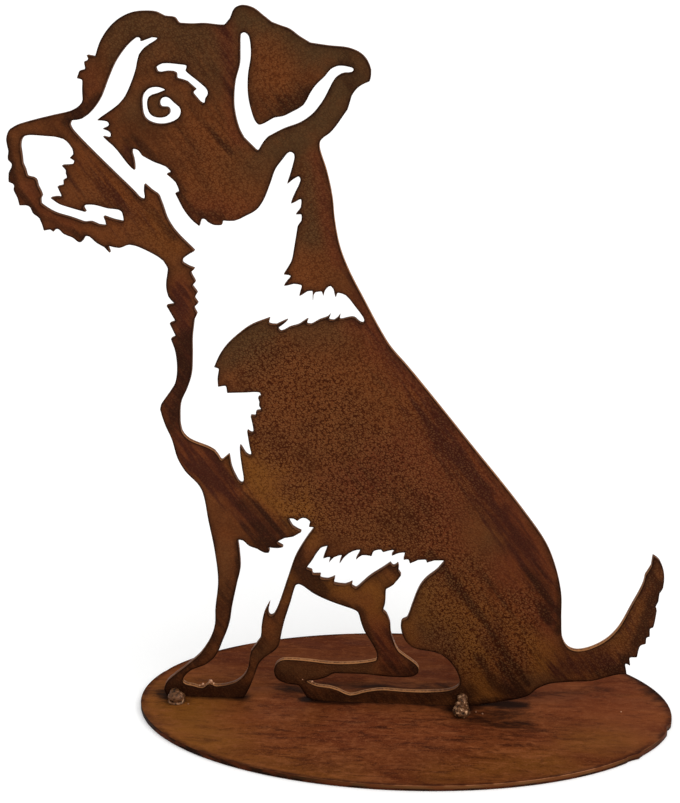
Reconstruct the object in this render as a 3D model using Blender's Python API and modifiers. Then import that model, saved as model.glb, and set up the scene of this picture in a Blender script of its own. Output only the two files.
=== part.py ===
"""A seated terrier cut from sheet steel, standing upright on an oval steel base.

The figure is one flat sheet with the coat's markings cut out of it. It stands on edge along the
long centre line of an oval base plate and is held by two weld beads at its feet, one at the
front toe and one at the hind foot. The frame: the origin is the centre of the base's underside,
+X runs from the nose to the tail, +Z is up, and the figure's front face looks along -Y.
"""
import math

import bmesh
import bpy
from mathutils import Matrix, Vector

# Driving dimensions, in metres.
FIGURE_HEIGHT = 0.344
SHEET_THICKNESS = 0.003
BASE_LENGTH = 0.270
BASE_WIDTH = 0.150
BASE_THICKNESS = 0.003
BASE_EDGE_ROUNDING = 0.0004
FIT_GAP = 0.0003
TOE_BEAD_SIZE = (0.0092, 0.0086, 0.0078)
HIND_UPPER_BEAD_SIZE = (0.0072, 0.0076, 0.0084)
HIND_LOWER_BEAD_SIZE = (0.0078, 0.0100, 0.0066)

# A bead is a flattened ball. Its middle stands off the sheet's face, and above the base's top, by
# these shares of its own depth and height, and the lower hind bead runs into the upper one.
TOE_BEAD_REACH = 0.46
TOE_BEAD_RISE = 0.28
HIND_UPPER_BEAD_REACH = 0.36
HIND_UPPER_BEAD_RISE = 0.50
HIND_LOWER_BEAD_RISE = 0.27
HIND_BEAD_SPACING = 0.60

# The kerf of the cutting torch rounds each inner corner more than it does a free tip.
TIP_RADIUS = 0.0003
VALLEY_RADIUS = 0.0008
LONGEST_ROUNDING = 0.4
SHARP_TURN = math.radians(28)

# A smooth edge takes a point for each such turn, up to a few between two knots.
SMOOTH_TURN = math.radians(12)
MOST_STEPS = 6

# The outline is drawn in millimetres: x along the base, z up from the base's top. The drawing is
# this tall, and it takes the figure's real height.
DRAWN_HEIGHT = 344.0
SCALE = FIGURE_HEIGHT / DRAWN_HEIGHT

# Where along the feet the beads sit, in the drawing's millimetres.
TOE_BEAD_X = -116.5
HIND_BEAD_X = 30.2

COLLECTION = "scrap_metal_dog_sculpture"


def curve(*knots):
    """A smooth edge through the knots, from the end of the edge before it."""
    return ("curve", knots)


def fur(*knots):
    """A run of cut locks: tips and the valleys between them, in turn."""
    return ("fur", knots)


def start(x, z):
    """Where a loop begins, and where it closes."""
    return ("start", ((x, z),))


# The outside of the figure, clockwise from the toe of the front paw.
FORELEG_AND_CHEST = (
    start(-122.0, 0.0),
    curve((-123.2, 3.5), (-121.5, 8.0), (-117.5, 12.0), (-110.0, 18.5), (-104.0, 24.3), (-98.6, 33.0),
          (-95.8, 42.0), (-95.4, 50.0), (-93.6, 66.0), (-95.0, 83.0), (-97.5, 98.0), (-100.0, 113.3),
          (-102.8, 118.3), (-107.8, 123.6), (-111.8, 131.0), (-114.2, 140.5), (-119.3, 155.8),
          (-115.5, 162.8), (-111.6, 169.0), (-110.3, 177.0), (-111.0, 185.5), (-112.8, 191.2)),
)
THROAT_TUFTS = (
    fur((-110.3, 192.4), (-113.1, 198.7), (-110.2, 199.8), (-114.3, 207.4), (-110.1, 208.2)),
    curve((-113.2, 211.8), (-114.0, 218.0), (-112.9, 225.2)),
)
CHIN_AND_BEARD = (
    curve((-115.0, 228.9), (-119.5, 232.0), (-125.0, 234.7), (-130.5, 236.2), (-135.3, 234.6),
          (-140.8, 235.7)),
    fur((-139.5, 231.7), (-142.2, 234.8)),
    curve((-146.0, 237.0), (-150.2, 240.1), (-153.5, 237.0), (-157.0, 239.2), (-161.0, 240.8),
          (-163.4, 243.1), (-165.0, 243.0)),
    fur((-165.8, 241.8), (-167.2, 242.9), (-170.3, 242.3)),
    curve((-172.0, 248.0), (-174.8, 250.3), (-176.6, 253.7), (-181.0, 254.0)),
    curve((-181.8, 257.8), (-183.2, 261.0), (-183.0, 263.6), (-185.3, 264.9)),
)
MUZZLE = (
    curve((-185.0, 269.0), (-183.2, 272.8), (-184.9, 275.4), (-184.4, 279.0), (-185.0, 284.5),
          (-182.8, 289.2), (-177.0, 291.8), (-170.0, 293.7), (-163.0, 295.4), (-155.0, 297.3),
          (-149.2, 301.2), (-148.7, 306.0), (-148.3, 311.4)),
    fur((-150.8, 312.0), (-149.4, 315.3), (-146.7, 316.0), (-147.1, 319.3), (-144.9, 320.3),
        (-145.9, 322.3), (-142.0, 321.6)),
)
FOREHEAD_AND_CROWN = (
    curve((-139.8, 327.4), (-136.0, 333.2), (-131.0, 337.8), (-125.0, 340.7), (-119.0, 341.4),
          (-113.8, 341.0), (-110.2, 339.3), (-105.8, 338.7), (-103.4, 336.2), (-93.0, 336.2),
          (-83.8, 335.5)),
)
EAR = (
    curve((-81.2, 338.3), (-79.0, 342.7), (-75.3, 344.0), (-70.0, 342.4), (-62.8, 336.8),
          (-55.0, 334.0), (-45.8, 328.0), (-29.5, 326.1), (-22.3, 322.8), (-18.8, 316.5),
          (-19.3, 311.6)),
    curve((-24.0, 309.2), (-27.4, 305.0), (-29.2, 299.0), (-36.5, 289.2), (-41.3, 285.2),
          (-41.6, 281.0), (-38.6, 271.5), (-36.1, 260.0), (-35.0, 249.0), (-32.6, 236.5),
          (-28.8, 226.3), (-20.9, 210.7), (-14.0, 197.6), (-9.0, 189.3), (-0.4, 179.2),
          (29.5, 141.8), (57.4, 106.3), (68.8, 89.4), (73.8, 76.8), (76.8, 64.0), (77.5, 50.0),
          (78.4, 40.0), (81.6, 34.2), (87.0, 32.6), (94.5, 35.0), (101.5, 40.0), (106.7, 47.2),
          (111.3, 57.8), (116.4, 70.3)),
)
TAIL = (
    curve((117.2, 75.0), (119.7, 79.9), (120.2, 85.6)),
    curve((123.6, 82.9), (126.0, 76.5), (126.1, 68.6), (124.6, 65.6)),
    curve((124.3, 61.0), (123.2, 58.4)),
    curve((123.9, 56.0), (122.8, 46.9)),
    fur((121.2, 46.2), (121.4, 41.8), (119.8, 41.2), (119.7, 37.7)),
    curve((117.2, 36.6), (116.3, 33.5), (115.9, 30.1)),
    fur((112.1, 29.9), (112.9, 25.2), (110.1, 26.8), (111.4, 20.6)),
)
RUMP = (
    curve((107.5, 20.2), (102.0, 18.6), (95.0, 16.2), (84.0, 15.2), (74.0, 13.8), (67.5, 10.8),
          (62.5, 6.2), (53.0, 3.4), (36.0, 0.0)),
)
HIND_TOES = (
    fur((-46.0, 0.0)),
    curve((-49.5, 1.4), (-51.6, 5.0), (-54.0, 8.2), (-59.0, 8.8), (-64.6, 11.4), (-66.3, 16.0),
          (-64.8, 20.4), (-61.0, 22.6), (-50.0, 22.4), (-38.0, 21.3), (-28.0, 21.5), (-14.2, 23.8)),
)
FAR_HIND_LEG_AND_BELLY_STRAP = (
    curve((-14.0, 28.0), (-16.6, 33.6), (-20.4, 40.5), (-22.4, 46.5), (-23.6, 50.6), (-27.0, 52.5),
          (-34.0, 54.9), (-40.0, 57.3), (-46.0, 60.4), (-50.6, 63.9), (-53.0, 65.1), (-54.6, 64.6)),
)
NEAR_FORELEG = (
    curve((-57.4, 55.0), (-60.8, 43.5), (-62.6, 35.0), (-63.6, 30.6), (-66.2, 27.2), (-70.3, 24.0),
          (-73.6, 20.2), (-76.4, 12.5), (-79.0, 5.8), (-82.0, 0.0)),
)
OUTSIDE = (FORELEG_AND_CHEST + THROAT_TUFTS + CHIN_AND_BEARD + MUZZLE + FOREHEAD_AND_CROWN + EAR
           + TAIL + RUMP + HIND_TOES + FAR_HIND_LEG_AND_BELLY_STRAP + NEAR_FORELEG)

# The muzzle's patch with the open mouth below it.
MUZZLE_HOLE = (
    start(-178.4, 277.0),
    curve((-178.7, 281.5), (-177.4, 285.2), (-174.0, 286.4), (-166.0, 286.0), (-158.6, 284.8),
          (-154.8, 280.6), (-154.4, 278.0)),
    fur((-156.2, 276.2), (-153.9, 274.9), (-155.0, 273.2), (-160.2, 272.8), (-158.3, 270.6)),
    curve((-158.4, 269.0), (-157.8, 267.2)),
    fur((-159.7, 266.2), (-159.7, 263.8), (-162.7, 263.1), (-160.7, 258.0)),
    curve((-163.5, 258.3), (-166.5, 257.8)),
    curve((-162.5, 255.0), (-157.5, 253.3), (-150.0, 251.2)),
    fur((-151.2, 253.6)),
    curve((-149.6, 254.7), (-145.0, 254.5), (-139.5, 253.1), (-135.0, 252.6), (-133.2, 251.3),
          (-132.6, 247.0)),
    curve((-137.5, 248.0), (-142.1, 249.6)),
    curve((-141.2, 247.0), (-140.9, 245.0)),
    curve((-144.5, 245.4), (-147.8, 246.8), (-151.5, 246.6), (-157.5, 248.7), (-165.0, 251.0),
          (-171.0, 254.8)),
    curve((-171.0, 257.0), (-170.2, 259.0), (-171.8, 263.0), (-172.8, 266.4), (-176.6, 267.6)),
    curve((-177.2, 270.6), (-178.3, 273.6), (-178.4, 277.0)),
)

# One long opening: the blaze, the cheek, the throat and the chest, then the nape.
BLAZE = (
    start(-113.4, 329.7),
    curve((-116.0, 330.0), (-121.2, 328.1)),
    curve((-121.6, 329.8), (-123.6, 329.6), (-128.5, 325.3), (-133.3, 318.8), (-136.9, 311.5),
          (-140.2, 304.0), (-144.5, 298.0), (-149.5, 294.0), (-154.4, 293.2)),
    curve((-155.2, 291.0), (-153.0, 287.4), (-145.0, 278.9), (-135.0, 268.8), (-126.5, 260.2),
          (-124.4, 258.0), (-122.5, 258.0), (-122.6, 261.5), (-122.3, 264.8)),
)
CHEEK_AND_THROAT = (
    curve((-118.8, 261.7), (-115.7, 259.2), (-112.5, 249.3), (-108.6, 242.7), (-100.0, 233.7)),
    curve((-105.4, 230.2), (-105.6, 227.8), (-100.2, 225.3)),
    fur((-102.3, 223.4), (-100.1, 218.9), (-101.8, 217.2), (-99.4, 213.7), (-100.9, 211.3),
        (-99.2, 208.7), (-101.3, 206.6), (-99.9, 203.6), (-101.3, 200.6)),
    curve((-102.5, 192.0), (-102.8, 183.0), (-103.6, 173.5), (-106.2, 165.6), (-109.0, 159.5),
          (-109.8, 152.0), (-109.2, 144.8), (-105.6, 140.4), (-99.0, 137.6), (-93.6, 134.9),
          (-90.3, 129.8)),
)
CHEST_TUFTS = (
    fur((-86.4, 133.4)),
    curve((-85.4, 127.0), (-83.4, 121.8), (-81.0, 118.4), (-79.6, 120.0), (-80.2, 126.0),
          (-81.2, 138.6)),
    curve((-78.2, 133.8), (-75.9, 133.0), (-76.2, 137.0), (-77.5, 145.9)),
    fur((-75.4, 144.5), (-74.3, 144.9)),
    curve((-74.7, 149.0), (-75.6, 153.4)),
    fur((-73.0, 153.2), (-72.9, 155.7), (-70.0, 156.2), (-71.4, 158.6), (-71.2, 160.6),
        (-71.9, 162.8), (-70.1, 163.4), (-71.0, 165.4)),
    curve((-78.0, 165.1), (-86.6, 164.7)),
    fur((-87.0, 168.4), (-90.9, 167.7)),
    curve((-91.0, 172.0), (-90.2, 176.9)),
    fur((-92.6, 177.5)),
)
SHOULDER_TUFTS = (
    curve((-90.0, 183.2), (-86.2, 188.6), (-80.5, 194.0), (-74.5, 198.4), (-65.4, 202.2)),
    fur((-66.2, 199.3)),
    curve((-62.5, 198.9), (-56.3, 201.9)),
    curve((-59.5, 199.0), (-61.5, 197.2), (-60.2, 195.7), (-56.5, 197.6), (-51.8, 199.2),
          (-49.2, 201.0), (-47.2, 202.3)),
    fur((-48.4, 199.4), (-46.0, 199.3)),
    curve((-42.0, 201.6), (-38.4, 203.0), (-36.8, 204.7)),
    fur((-38.0, 201.5), (-35.4, 201.4)),
    curve((-33.6, 202.8), (-32.2, 204.8)),
    fur((-33.0, 201.6)),
    curve((-29.5, 202.6), (-26.0, 203.0), (-23.4, 200.9), (-21.6, 200.6), (-21.6, 203.0),
          (-26.2, 209.4), (-30.0, 213.8), (-33.8, 215.0)),
)
NAPE_TUFTS = (
    fur((-34.5, 212.1), (-35.6, 216.6)),
    curve((-37.2, 218.0), (-39.5, 215.8), (-40.3, 213.0)),
    fur((-41.0, 215.5), (-43.9, 215.0)),
    curve((-45.0, 213.4), (-45.3, 210.1)),
    fur((-45.3, 215.6)),
    curve((-47.8, 215.3), (-51.7, 212.8)),
    fur((-50.2, 218.2)),
    curve((-54.0, 218.8), (-59.0, 217.6)),
    fur((-54.9, 222.8), (-58.8, 223.2)),
    curve((-55.2, 229.4), (-54.1, 234.0), (-52.9, 241.0), (-52.1, 245.8), (-50.3, 248.6),
          (-50.2, 251.6)),
    fur((-53.1, 251.4)),
    curve((-50.6, 254.6), (-50.2, 258.8)),
    fur((-55.2, 256.2)),
    curve((-53.0, 261.8), (-50.6, 267.0), (-51.6, 268.9), (-56.8, 265.1)),
    curve((-55.4, 269.4), (-53.8, 274.8), (-53.3, 278.8), (-55.4, 279.9), (-58.0, 277.3),
          (-62.0, 271.9), (-64.4, 265.6), (-67.2, 258.6), (-70.6, 253.6), (-76.0, 250.4),
          (-81.2, 248.1), (-86.6, 248.2)),
)
JOWL = (
    fur((-87.0, 246.1)),
    curve((-90.5, 246.0), (-93.4, 247.4), (-95.0, 248.8), (-96.5, 248.4), (-97.4, 245.3)),
    curve((-100.6, 248.0), (-104.2, 252.6), (-108.2, 260.6)),
    fur((-106.2, 261.3)),
    curve((-107.8, 265.6), (-112.0, 269.4)),
    fur((-109.6, 270.2)),
    curve((-112.0, 272.7), (-117.0, 274.6), (-122.4, 277.4), (-124.6, 280.1), (-127.2, 280.1),
          (-126.6, 275.6), (-126.4, 270.7)),
    curve((-129.0, 273.2), (-135.0, 281.0), (-140.4, 286.2)),
    curve((-137.2, 285.8), (-137.0, 288.0), (-140.4, 289.6)),
    curve((-137.4, 291.2), (-138.2, 292.9), (-142.9, 293.3)),
    curve((-138.5, 296.4), (-133.2, 300.1), (-129.4, 304.2), (-126.4, 310.0), (-123.9, 316.5),
          (-122.2, 322.6), (-118.6, 326.4), (-113.4, 329.7)),
)
FACE_AND_NECK_HOLE = BLAZE + CHEEK_AND_THROAT + CHEST_TUFTS + SHOULDER_TUFTS + NAPE_TUFTS + JOWL

BROW_HOLE = (
    start(-114.9, 317.0),
    curve((-111.8, 318.7), (-106.5, 318.6), (-100.7, 318.0)),
    fur((-101.6, 315.6)),
    curve((-96.5, 311.4), (-92.8, 308.2), (-91.8, 305.8), (-93.0, 303.6), (-93.8, 301.4),
          (-95.8, 302.4), (-98.8, 306.0)),
    fur((-97.0, 307.4)),
    curve((-101.0, 310.9), (-105.6, 312.3)),
    curve((-106.0, 314.8), (-110.0, 315.4), (-113.9, 315.0), (-114.9, 317.0)),
)
EYE_HOLE = (
    start(-110.8, 307.2),
    curve((-114.0, 308.3), (-118.0, 307.8), (-121.2, 304.8), (-121.8, 300.0), (-120.8, 294.8),
          (-116.8, 292.3), (-111.0, 292.2), (-105.6, 294.8), (-104.4, 298.6), (-107.2, 301.5),
          (-110.2, 303.9), (-113.2, 302.9), (-113.4, 300.0), (-109.8, 299.2), (-109.6, 296.4),
          (-113.0, 294.8), (-117.6, 295.8), (-119.4, 299.5), (-118.6, 304.0), (-115.0, 305.5),
          (-110.8, 307.2)),
)
EAR_HOLE = (
    start(-76.6, 331.6),
    curve((-76.9, 325.5), (-77.2, 319.0), (-79.4, 311.0), (-80.2, 302.0), (-79.0, 293.2),
          (-76.0, 286.0), (-69.9, 280.0)),
    curve((-68.0, 283.2), (-65.2, 286.6), (-58.0, 290.3), (-50.8, 293.0), (-44.6, 297.4),
          (-39.4, 304.4), (-35.2, 312.2), (-31.6, 314.9), (-27.6, 315.4), (-26.6, 316.8),
          (-28.4, 317.7), (-33.0, 318.2), (-36.6, 316.7), (-39.0, 313.9), (-43.4, 309.6),
          (-46.4, 305.2), (-48.8, 301.0), (-53.4, 298.2), (-58.2, 295.9), (-62.2, 295.2),
          (-66.4, 292.8), (-69.6, 292.3), (-72.2, 297.6), (-73.8, 306.0), (-73.6, 314.0),
          (-72.2, 322.2), (-72.7, 330.2), (-74.6, 332.3), (-76.6, 331.6)),
)

# The opening between the forelegs, with the elbow's tufts over it.
FORELEG_HOLE = (
    start(-83.2, 88.4),
    curve((-82.5, 81.0), (-82.3, 73.0), (-84.4, 63.5), (-87.2, 50.5), (-88.6, 42.0),
          (-92.6, 31.0), (-96.2, 23.2), (-102.0, 18.0), (-108.0, 15.4), (-112.2, 11.4),
          (-112.9, 7.6), (-108.0, 6.0), (-103.2, 5.0), (-99.8, 7.4), (-96.0, 6.2), (-89.0, 7.6),
          (-84.4, 10.0), (-80.6, 14.6), (-79.0, 20.0), (-77.8, 27.0), (-73.0, 34.0),
          (-72.2, 41.0), (-70.8, 48.5), (-67.4, 55.8)),
    curve((-68.6, 50.4), (-68.0, 47.2), (-66.0, 47.6), (-62.8, 55.0), (-58.8, 67.6),
          (-54.6, 80.2), (-49.4, 89.6), (-45.0, 96.2)),
    fur((-47.9, 96.2), (-47.2, 99.0)),
    curve((-49.0, 100.6), (-51.4, 100.8), (-53.6, 99.2)),
    curve((-55.4, 100.4), (-58.0, 100.4)),
    curve((-55.8, 96.0), (-51.4, 93.5)),
    curve((-55.6, 90.8), (-60.0, 89.9), (-64.4, 87.4)),
    fur((-60.4, 85.0)),
    curve((-63.4, 84.4), (-68.4, 84.7)),
    curve((-67.6, 82.2), (-70.2, 81.8), (-73.6, 83.7), (-77.6, 85.2), (-80.6, 88.0),
          (-83.2, 88.4)),
)

# The flank's opening, which runs down between the hind legs and forward between the hind feet.
FLANK_TUFTS = (
    start(-49.6, 73.6),
    curve((-46.2, 78.6), (-42.2, 85.0), (-38.6, 86.4)),
    fur((-41.0, 79.4), (-37.0, 80.8), (-38.2, 77.0)),
    curve((-35.6, 80.2), (-31.4, 81.8)),
    fur((-33.2, 76.2)),
    curve((-30.8, 80.0), (-27.0, 83.4), (-21.9, 85.3)),
    fur((-24.9, 79.0)),
    curve((-21.6, 81.8), (-16.9, 81.4)),
    curve((-15.8, 84.2), (-12.2, 85.1)),
    fur((-11.4, 83.7)),
    curve((-8.6, 84.6), (-5.2, 85.3)),
    fur((-7.4, 81.7)),
    curve((-4.0, 83.3), (-0.2, 84.1)),
    fur((-1.3, 79.9), (1.3, 80.3), (2.0, 78.0)),
    curve((6.0, 80.0), (9.9, 80.4)),
    fur((10.3, 78.7)),
    curve((14.0, 80.0), (19.6, 80.2)),
)
HOCK_GAP = (
    curve((15.6, 74.9), (10.2, 70.0), (6.6, 64.6), (3.6, 56.0), (1.0, 47.8)),
    curve((-1.6, 46.2), (-1.9, 42.0), (0.4, 35.4), (5.0, 31.4), (12.5, 30.0), (18.6, 28.2),
          (24.2, 22.8), (27.8, 15.4), (27.6, 10.8), (22.0, 7.8), (10.0, 6.6), (0.0, 6.6),
          (-12.0, 7.0), (-21.0, 5.2), (-27.4, 3.4), (-33.0, 5.8), (-38.0, 7.4), (-44.5, 8.2),
          (-50.8, 11.0)),
    curve((-44.6, 11.6), (-39.6, 13.4), (-35.0, 15.8), (-20.0, 15.8), (-8.0, 14.8), (2.0, 14.9),
          (6.6, 16.8), (7.2, 20.4), (3.4, 24.4), (-2.8, 29.2), (-5.2, 34.0), (-7.0, 39.6),
          (-7.4, 44.6), (-9.2, 49.8), (-11.0, 51.6)),
    curve((-10.0, 56.0), (-9.6, 63.8)),
    curve((-6.0, 66.2), (-2.2, 71.6)),
    fur((-3.6, 73.8)),
    curve((-3.4, 76.0), (-3.8, 77.8)),
    curve((-6.0, 76.2), (-7.6, 77.8)),
    curve((-11.2, 75.0), (-17.5, 70.4), (-21.6, 66.4), (-24.6, 63.4)),
    fur((-26.8, 64.8), (-26.2, 67.0)),
    curve((-30.0, 65.2), (-35.8, 65.8)),
    fur((-34.9, 69.6)),
    curve((-38.5, 67.9), (-42.6, 68.4)),
    fur((-42.1, 70.6), (-46.2, 70.4), (-46.5, 72.6), (-49.6, 73.6)),
)
FLANK_HOLE = FLANK_TUFTS + HOCK_GAP

HOLES = (MUZZLE_HOLE, FACE_AND_NECK_HOLE, BROW_HOLE, EYE_HOLE, EAR_HOLE, FORELEG_HOLE, FLANK_HOLE)

# Colour, metallic and roughness of the pieces' rusted steel.
RUST_BROWN = ((0.105, 0.045, 0.020, 1.0), 0.35, 0.62)
RUST_RED = ((0.125, 0.048, 0.025, 1.0), 0.35, 0.60)
WELD_GREY = ((0.070, 0.052, 0.038, 1.0), 0.80, 0.34)


def clear_scene():
    """Remove the objects of the scene that the script starts in."""
    for old in list(bpy.data.objects):
        bpy.data.objects.remove(old, do_unlink=True)


def steel(name, look):
    """A Principled material with the colour, metallic value and roughness of one piece."""
    colour, metallic, roughness = look
    material = bpy.data.materials.new(name)
    material.use_nodes = True
    shader = material.node_tree.nodes["Principled BSDF"]
    shader.inputs["Base Color"].default_value = colour
    shader.inputs["Metallic"].default_value = metallic
    shader.inputs["Roughness"].default_value = roughness
    material.diffuse_color = colour
    return material


def turn_between(before, after):
    """The signed angle from one direction to the next."""
    return math.atan2(before.cross(after), before.dot(after))


def smooth_points(knots):
    """Points on a smooth curve through the knots, more of them where it turns more."""
    knots = [Vector(knot) for knot in knots]
    ends = [knots[0] * 2 - knots[1], *knots, knots[-1] * 2 - knots[-2]]
    points = [knots[0]]
    for before, near, far, after in zip(ends, ends[1:], ends[2:], ends[3:]):
        chord = (far - near).length
        tangent_in = (far - before).normalized() * chord
        tangent_out = (after - near).normalized() * chord
        turn = abs(turn_between(tangent_in, far - near)) + abs(turn_between(far - near, tangent_out))
        steps = min(MOST_STEPS, max(1, math.ceil(turn / SMOOTH_TURN)))
        for step in range(1, steps + 1):
            t = step / steps
            points.append(near * (2 * t ** 3 - 3 * t ** 2 + 1) + tangent_in * (t ** 3 - 2 * t ** 2 + t)
                          + far * (3 * t ** 2 - 2 * t ** 3) + tangent_out * (t ** 3 - t ** 2))
    return points


def traced(runs):
    """The closed loop of points that the runs draw, in drawing millimetres."""
    points = []
    for kind, knots in runs:
        if kind == "curve":
            points += smooth_points([points[-1], *knots])[1:]
        else:
            points += [Vector(knot) for knot in knots]
    if points[0] == points[-1]:
        points.pop()
    return points


def loop_area(points):
    """The signed area inside a loop, positive when it runs counter-clockwise."""
    return sum(here.cross(there) for here, there in zip(points, points[1:] + points[:1])) / 2


def rounded(points, metal_inside):
    """Round each sharp corner with the kerf's radius: little at a tip, more in a valley."""
    way = math.copysign(1.0, loop_area(points)) * (1.0 if metal_inside else -1.0)
    result = []
    for before, corner, after in zip(points[-1:] + points[:-1], points, points[1:] + points[:1]):
        coming = corner - before
        leaving = after - corner
        turn = turn_between(coming, leaving)
        if abs(turn) < SHARP_TURN:
            result.append(corner)
            continue
        radius = (TIP_RADIUS if turn * way > 0 else VALLEY_RADIUS) / SCALE
        longest = LONGEST_ROUNDING * min(coming.length, leaving.length)
        reach = min(radius * math.tan(abs(turn) / 2), longest)
        first = corner - coming.normalized() * reach
        last = corner + leaving.normalized() * reach
        result += [first, (first + 2 * corner + last) / 4, last]
    return result


def add_loop(outline, runs, metal_inside):
    """Add one closed loop to the flat outline, at the figure's real height."""
    points = rounded(traced(runs), metal_inside)
    spline = outline.splines.new("POLY")
    spline.points.add(len(points) - 1)
    for place, point in zip(spline.points, points):
        place.co = (point.x * SCALE, point.y * SCALE, 0.0, 1.0)
    spline.use_cyclic_u = True


def build_figure(collection):
    """The cut sheet: a flat outline with its holes, as thick as the sheet, stood on its edge."""
    outline = bpy.data.curves.new("figure", "CURVE")
    outline.dimensions = "2D"
    outline.fill_mode = "BOTH"
    outline.extrude = SHEET_THICKNESS / 2
    add_loop(outline, OUTSIDE, metal_inside=True)
    for hole in HOLES:
        add_loop(outline, hole, metal_inside=False)
    figure = bpy.data.objects.new("figure", outline)
    figure.rotation_euler = (math.radians(90), 0.0, 0.0)
    figure.location = (0.0, 0.0, BASE_THICKNESS + FIT_GAP)
    outline.materials.append(steel("figure_rust", RUST_BROWN))
    collection.objects.link(figure)
    return figure


def build_base_plate(collection):
    """The oval plate, with its edges a little rounded."""
    bpy.ops.mesh.primitive_cylinder_add(vertices=96, radius=0.5, depth=1.0)
    plate = bpy.context.object
    plate.name = "base_plate"
    plate.data.name = "base_plate"
    plate.data.transform(Matrix.Diagonal((BASE_LENGTH, BASE_WIDTH, BASE_THICKNESS, 1.0)))
    plate.location = (0.0, 0.0, BASE_THICKNESS / 2)
    edge = plate.modifiers.new("rounded_edge", "BEVEL")
    edge.width = BASE_EDGE_ROUNDING
    edge.segments = 1
    edge.limit_method = "ANGLE"
    plate.data.materials.append(steel("base_rust", RUST_RED))
    move_to(collection, plate)
    return plate


def move_to(collection, item):
    """Keep an object in one collection only."""
    for old in list(item.users_collection):
        old.objects.unlink(item)
    collection.objects.link(item)


def add_bead(shape, size, place):
    """Add one flattened ball of weld metal to a shape."""
    to_place = Matrix.Translation(place) @ Matrix.Diagonal((*size, 1.0))
    bmesh.ops.create_uvsphere(shape, u_segments=16, v_segments=10, radius=0.5, matrix=to_place)


def cut_flat(shape, place, normal):
    """Cut a closed shape with a plane, keep what lies on the normal's side, and close it."""
    everything = shape.verts[:] + shape.edges[:] + shape.faces[:]
    cut = bmesh.ops.bisect_plane(shape, geom=everything, plane_co=place, plane_no=normal,
                                 clear_inner=True, dist=1e-7)
    edges = [item for item in cut["geom_cut"] if isinstance(item, bmesh.types.BMEdge)]
    bmesh.ops.edgeloop_fill(shape, edges=edges)


def build_weld_bead(name, size, place, collection):
    """A bead that fills the corner between the sheet's front face and the base's top."""
    shape = bmesh.new()
    add_bead(shape, size, place)
    cut_flat(shape, (0.0, -SHEET_THICKNESS / 2 - FIT_GAP, 0.0), (0.0, -1.0, 0.0))
    cut_flat(shape, (0.0, 0.0, BASE_THICKNESS + FIT_GAP), (0.0, 0.0, 1.0))
    bmesh.ops.recalc_face_normals(shape, faces=shape.faces[:])
    mesh = bpy.data.meshes.new(name)
    shape.to_mesh(mesh)
    shape.free()
    mesh.shade_smooth()
    mesh.set_sharp_from_angle(angle=math.radians(40))
    bead = bpy.data.objects.new(name, mesh)
    collection.objects.link(bead)
    return bead


def bead_place(drawn_x, size, reach, rise):
    """The middle of a bead that sits in the corner between the sheet and the base."""
    return Vector((drawn_x * SCALE, -SHEET_THICKNESS / 2 - size[1] * reach,
                   BASE_THICKNESS + size[2] * rise))


def build_toe_weld(collection):
    """The round bead in front of the front toe."""
    place = bead_place(TOE_BEAD_X, TOE_BEAD_SIZE, TOE_BEAD_REACH, TOE_BEAD_RISE)
    bead = build_weld_bead("weld_toe", TOE_BEAD_SIZE, place, collection)
    bead.data.materials.append(steel("toe_weld_metal", WELD_GREY))


def build_hind_weld(collection, cutters):
    """The taller weld at the hind foot: a bead on the sheet that runs into one on the base."""
    upper = bead_place(HIND_BEAD_X, HIND_UPPER_BEAD_SIZE, HIND_UPPER_BEAD_REACH,
                       HIND_UPPER_BEAD_RISE)
    lower = bead_place(HIND_BEAD_X, HIND_LOWER_BEAD_SIZE, 0.0, HIND_LOWER_BEAD_RISE)
    between = (HIND_UPPER_BEAD_SIZE[1] + HIND_LOWER_BEAD_SIZE[1]) / 2
    lower.y = upper.y - between * HIND_BEAD_SPACING
    bead = build_weld_bead("weld_hind", HIND_UPPER_BEAD_SIZE, upper, collection)
    second = build_weld_bead("weld_hind_lower_bead", HIND_LOWER_BEAD_SIZE, lower, cutters)
    second.hide_render = True
    second.display_type = "WIRE"
    join = bead.modifiers.new("joined_bead", "BOOLEAN")
    join.operation = "UNION"
    join.object = second
    bead.data.materials.append(steel("hind_weld_metal", WELD_GREY))


def main():
    """Build the four pieces."""
    clear_scene()
    collection = bpy.data.collections.new(COLLECTION)
    cutters = bpy.data.collections.new("cutters")
    bpy.context.scene.collection.children.link(collection)
    bpy.context.scene.collection.children.link(cutters)
    build_base_plate(collection)
    build_figure(collection)
    build_toe_weld(collection)
    build_hind_weld(collection, cutters)


main()
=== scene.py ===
# %% [markdown]
# # A terrier cut from rusted sheet steel
#
# The real object is flat: one piece of 3 mm steel plate, cut along a drawing of a seated terrier,
# stands on its edge on an oval plate of the same steel, held by two spots of weld. All its charm
# is in the rust, which has dimples on the body, streaks on the head and haunch, dark bands along
# the back, and pale worn steel where the cut edges catch the light.
#
# The solids that the frame brings have the right outline but plain faces. Each piece is made again
# below, in the same place, with the relief and the finish of the real one.

# %% Load the solids
import math

import bmesh
import bpy
import numpy as np
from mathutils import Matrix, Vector, kdtree, noise
from mathutils.geometry import delaunay_2d_cdt


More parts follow.
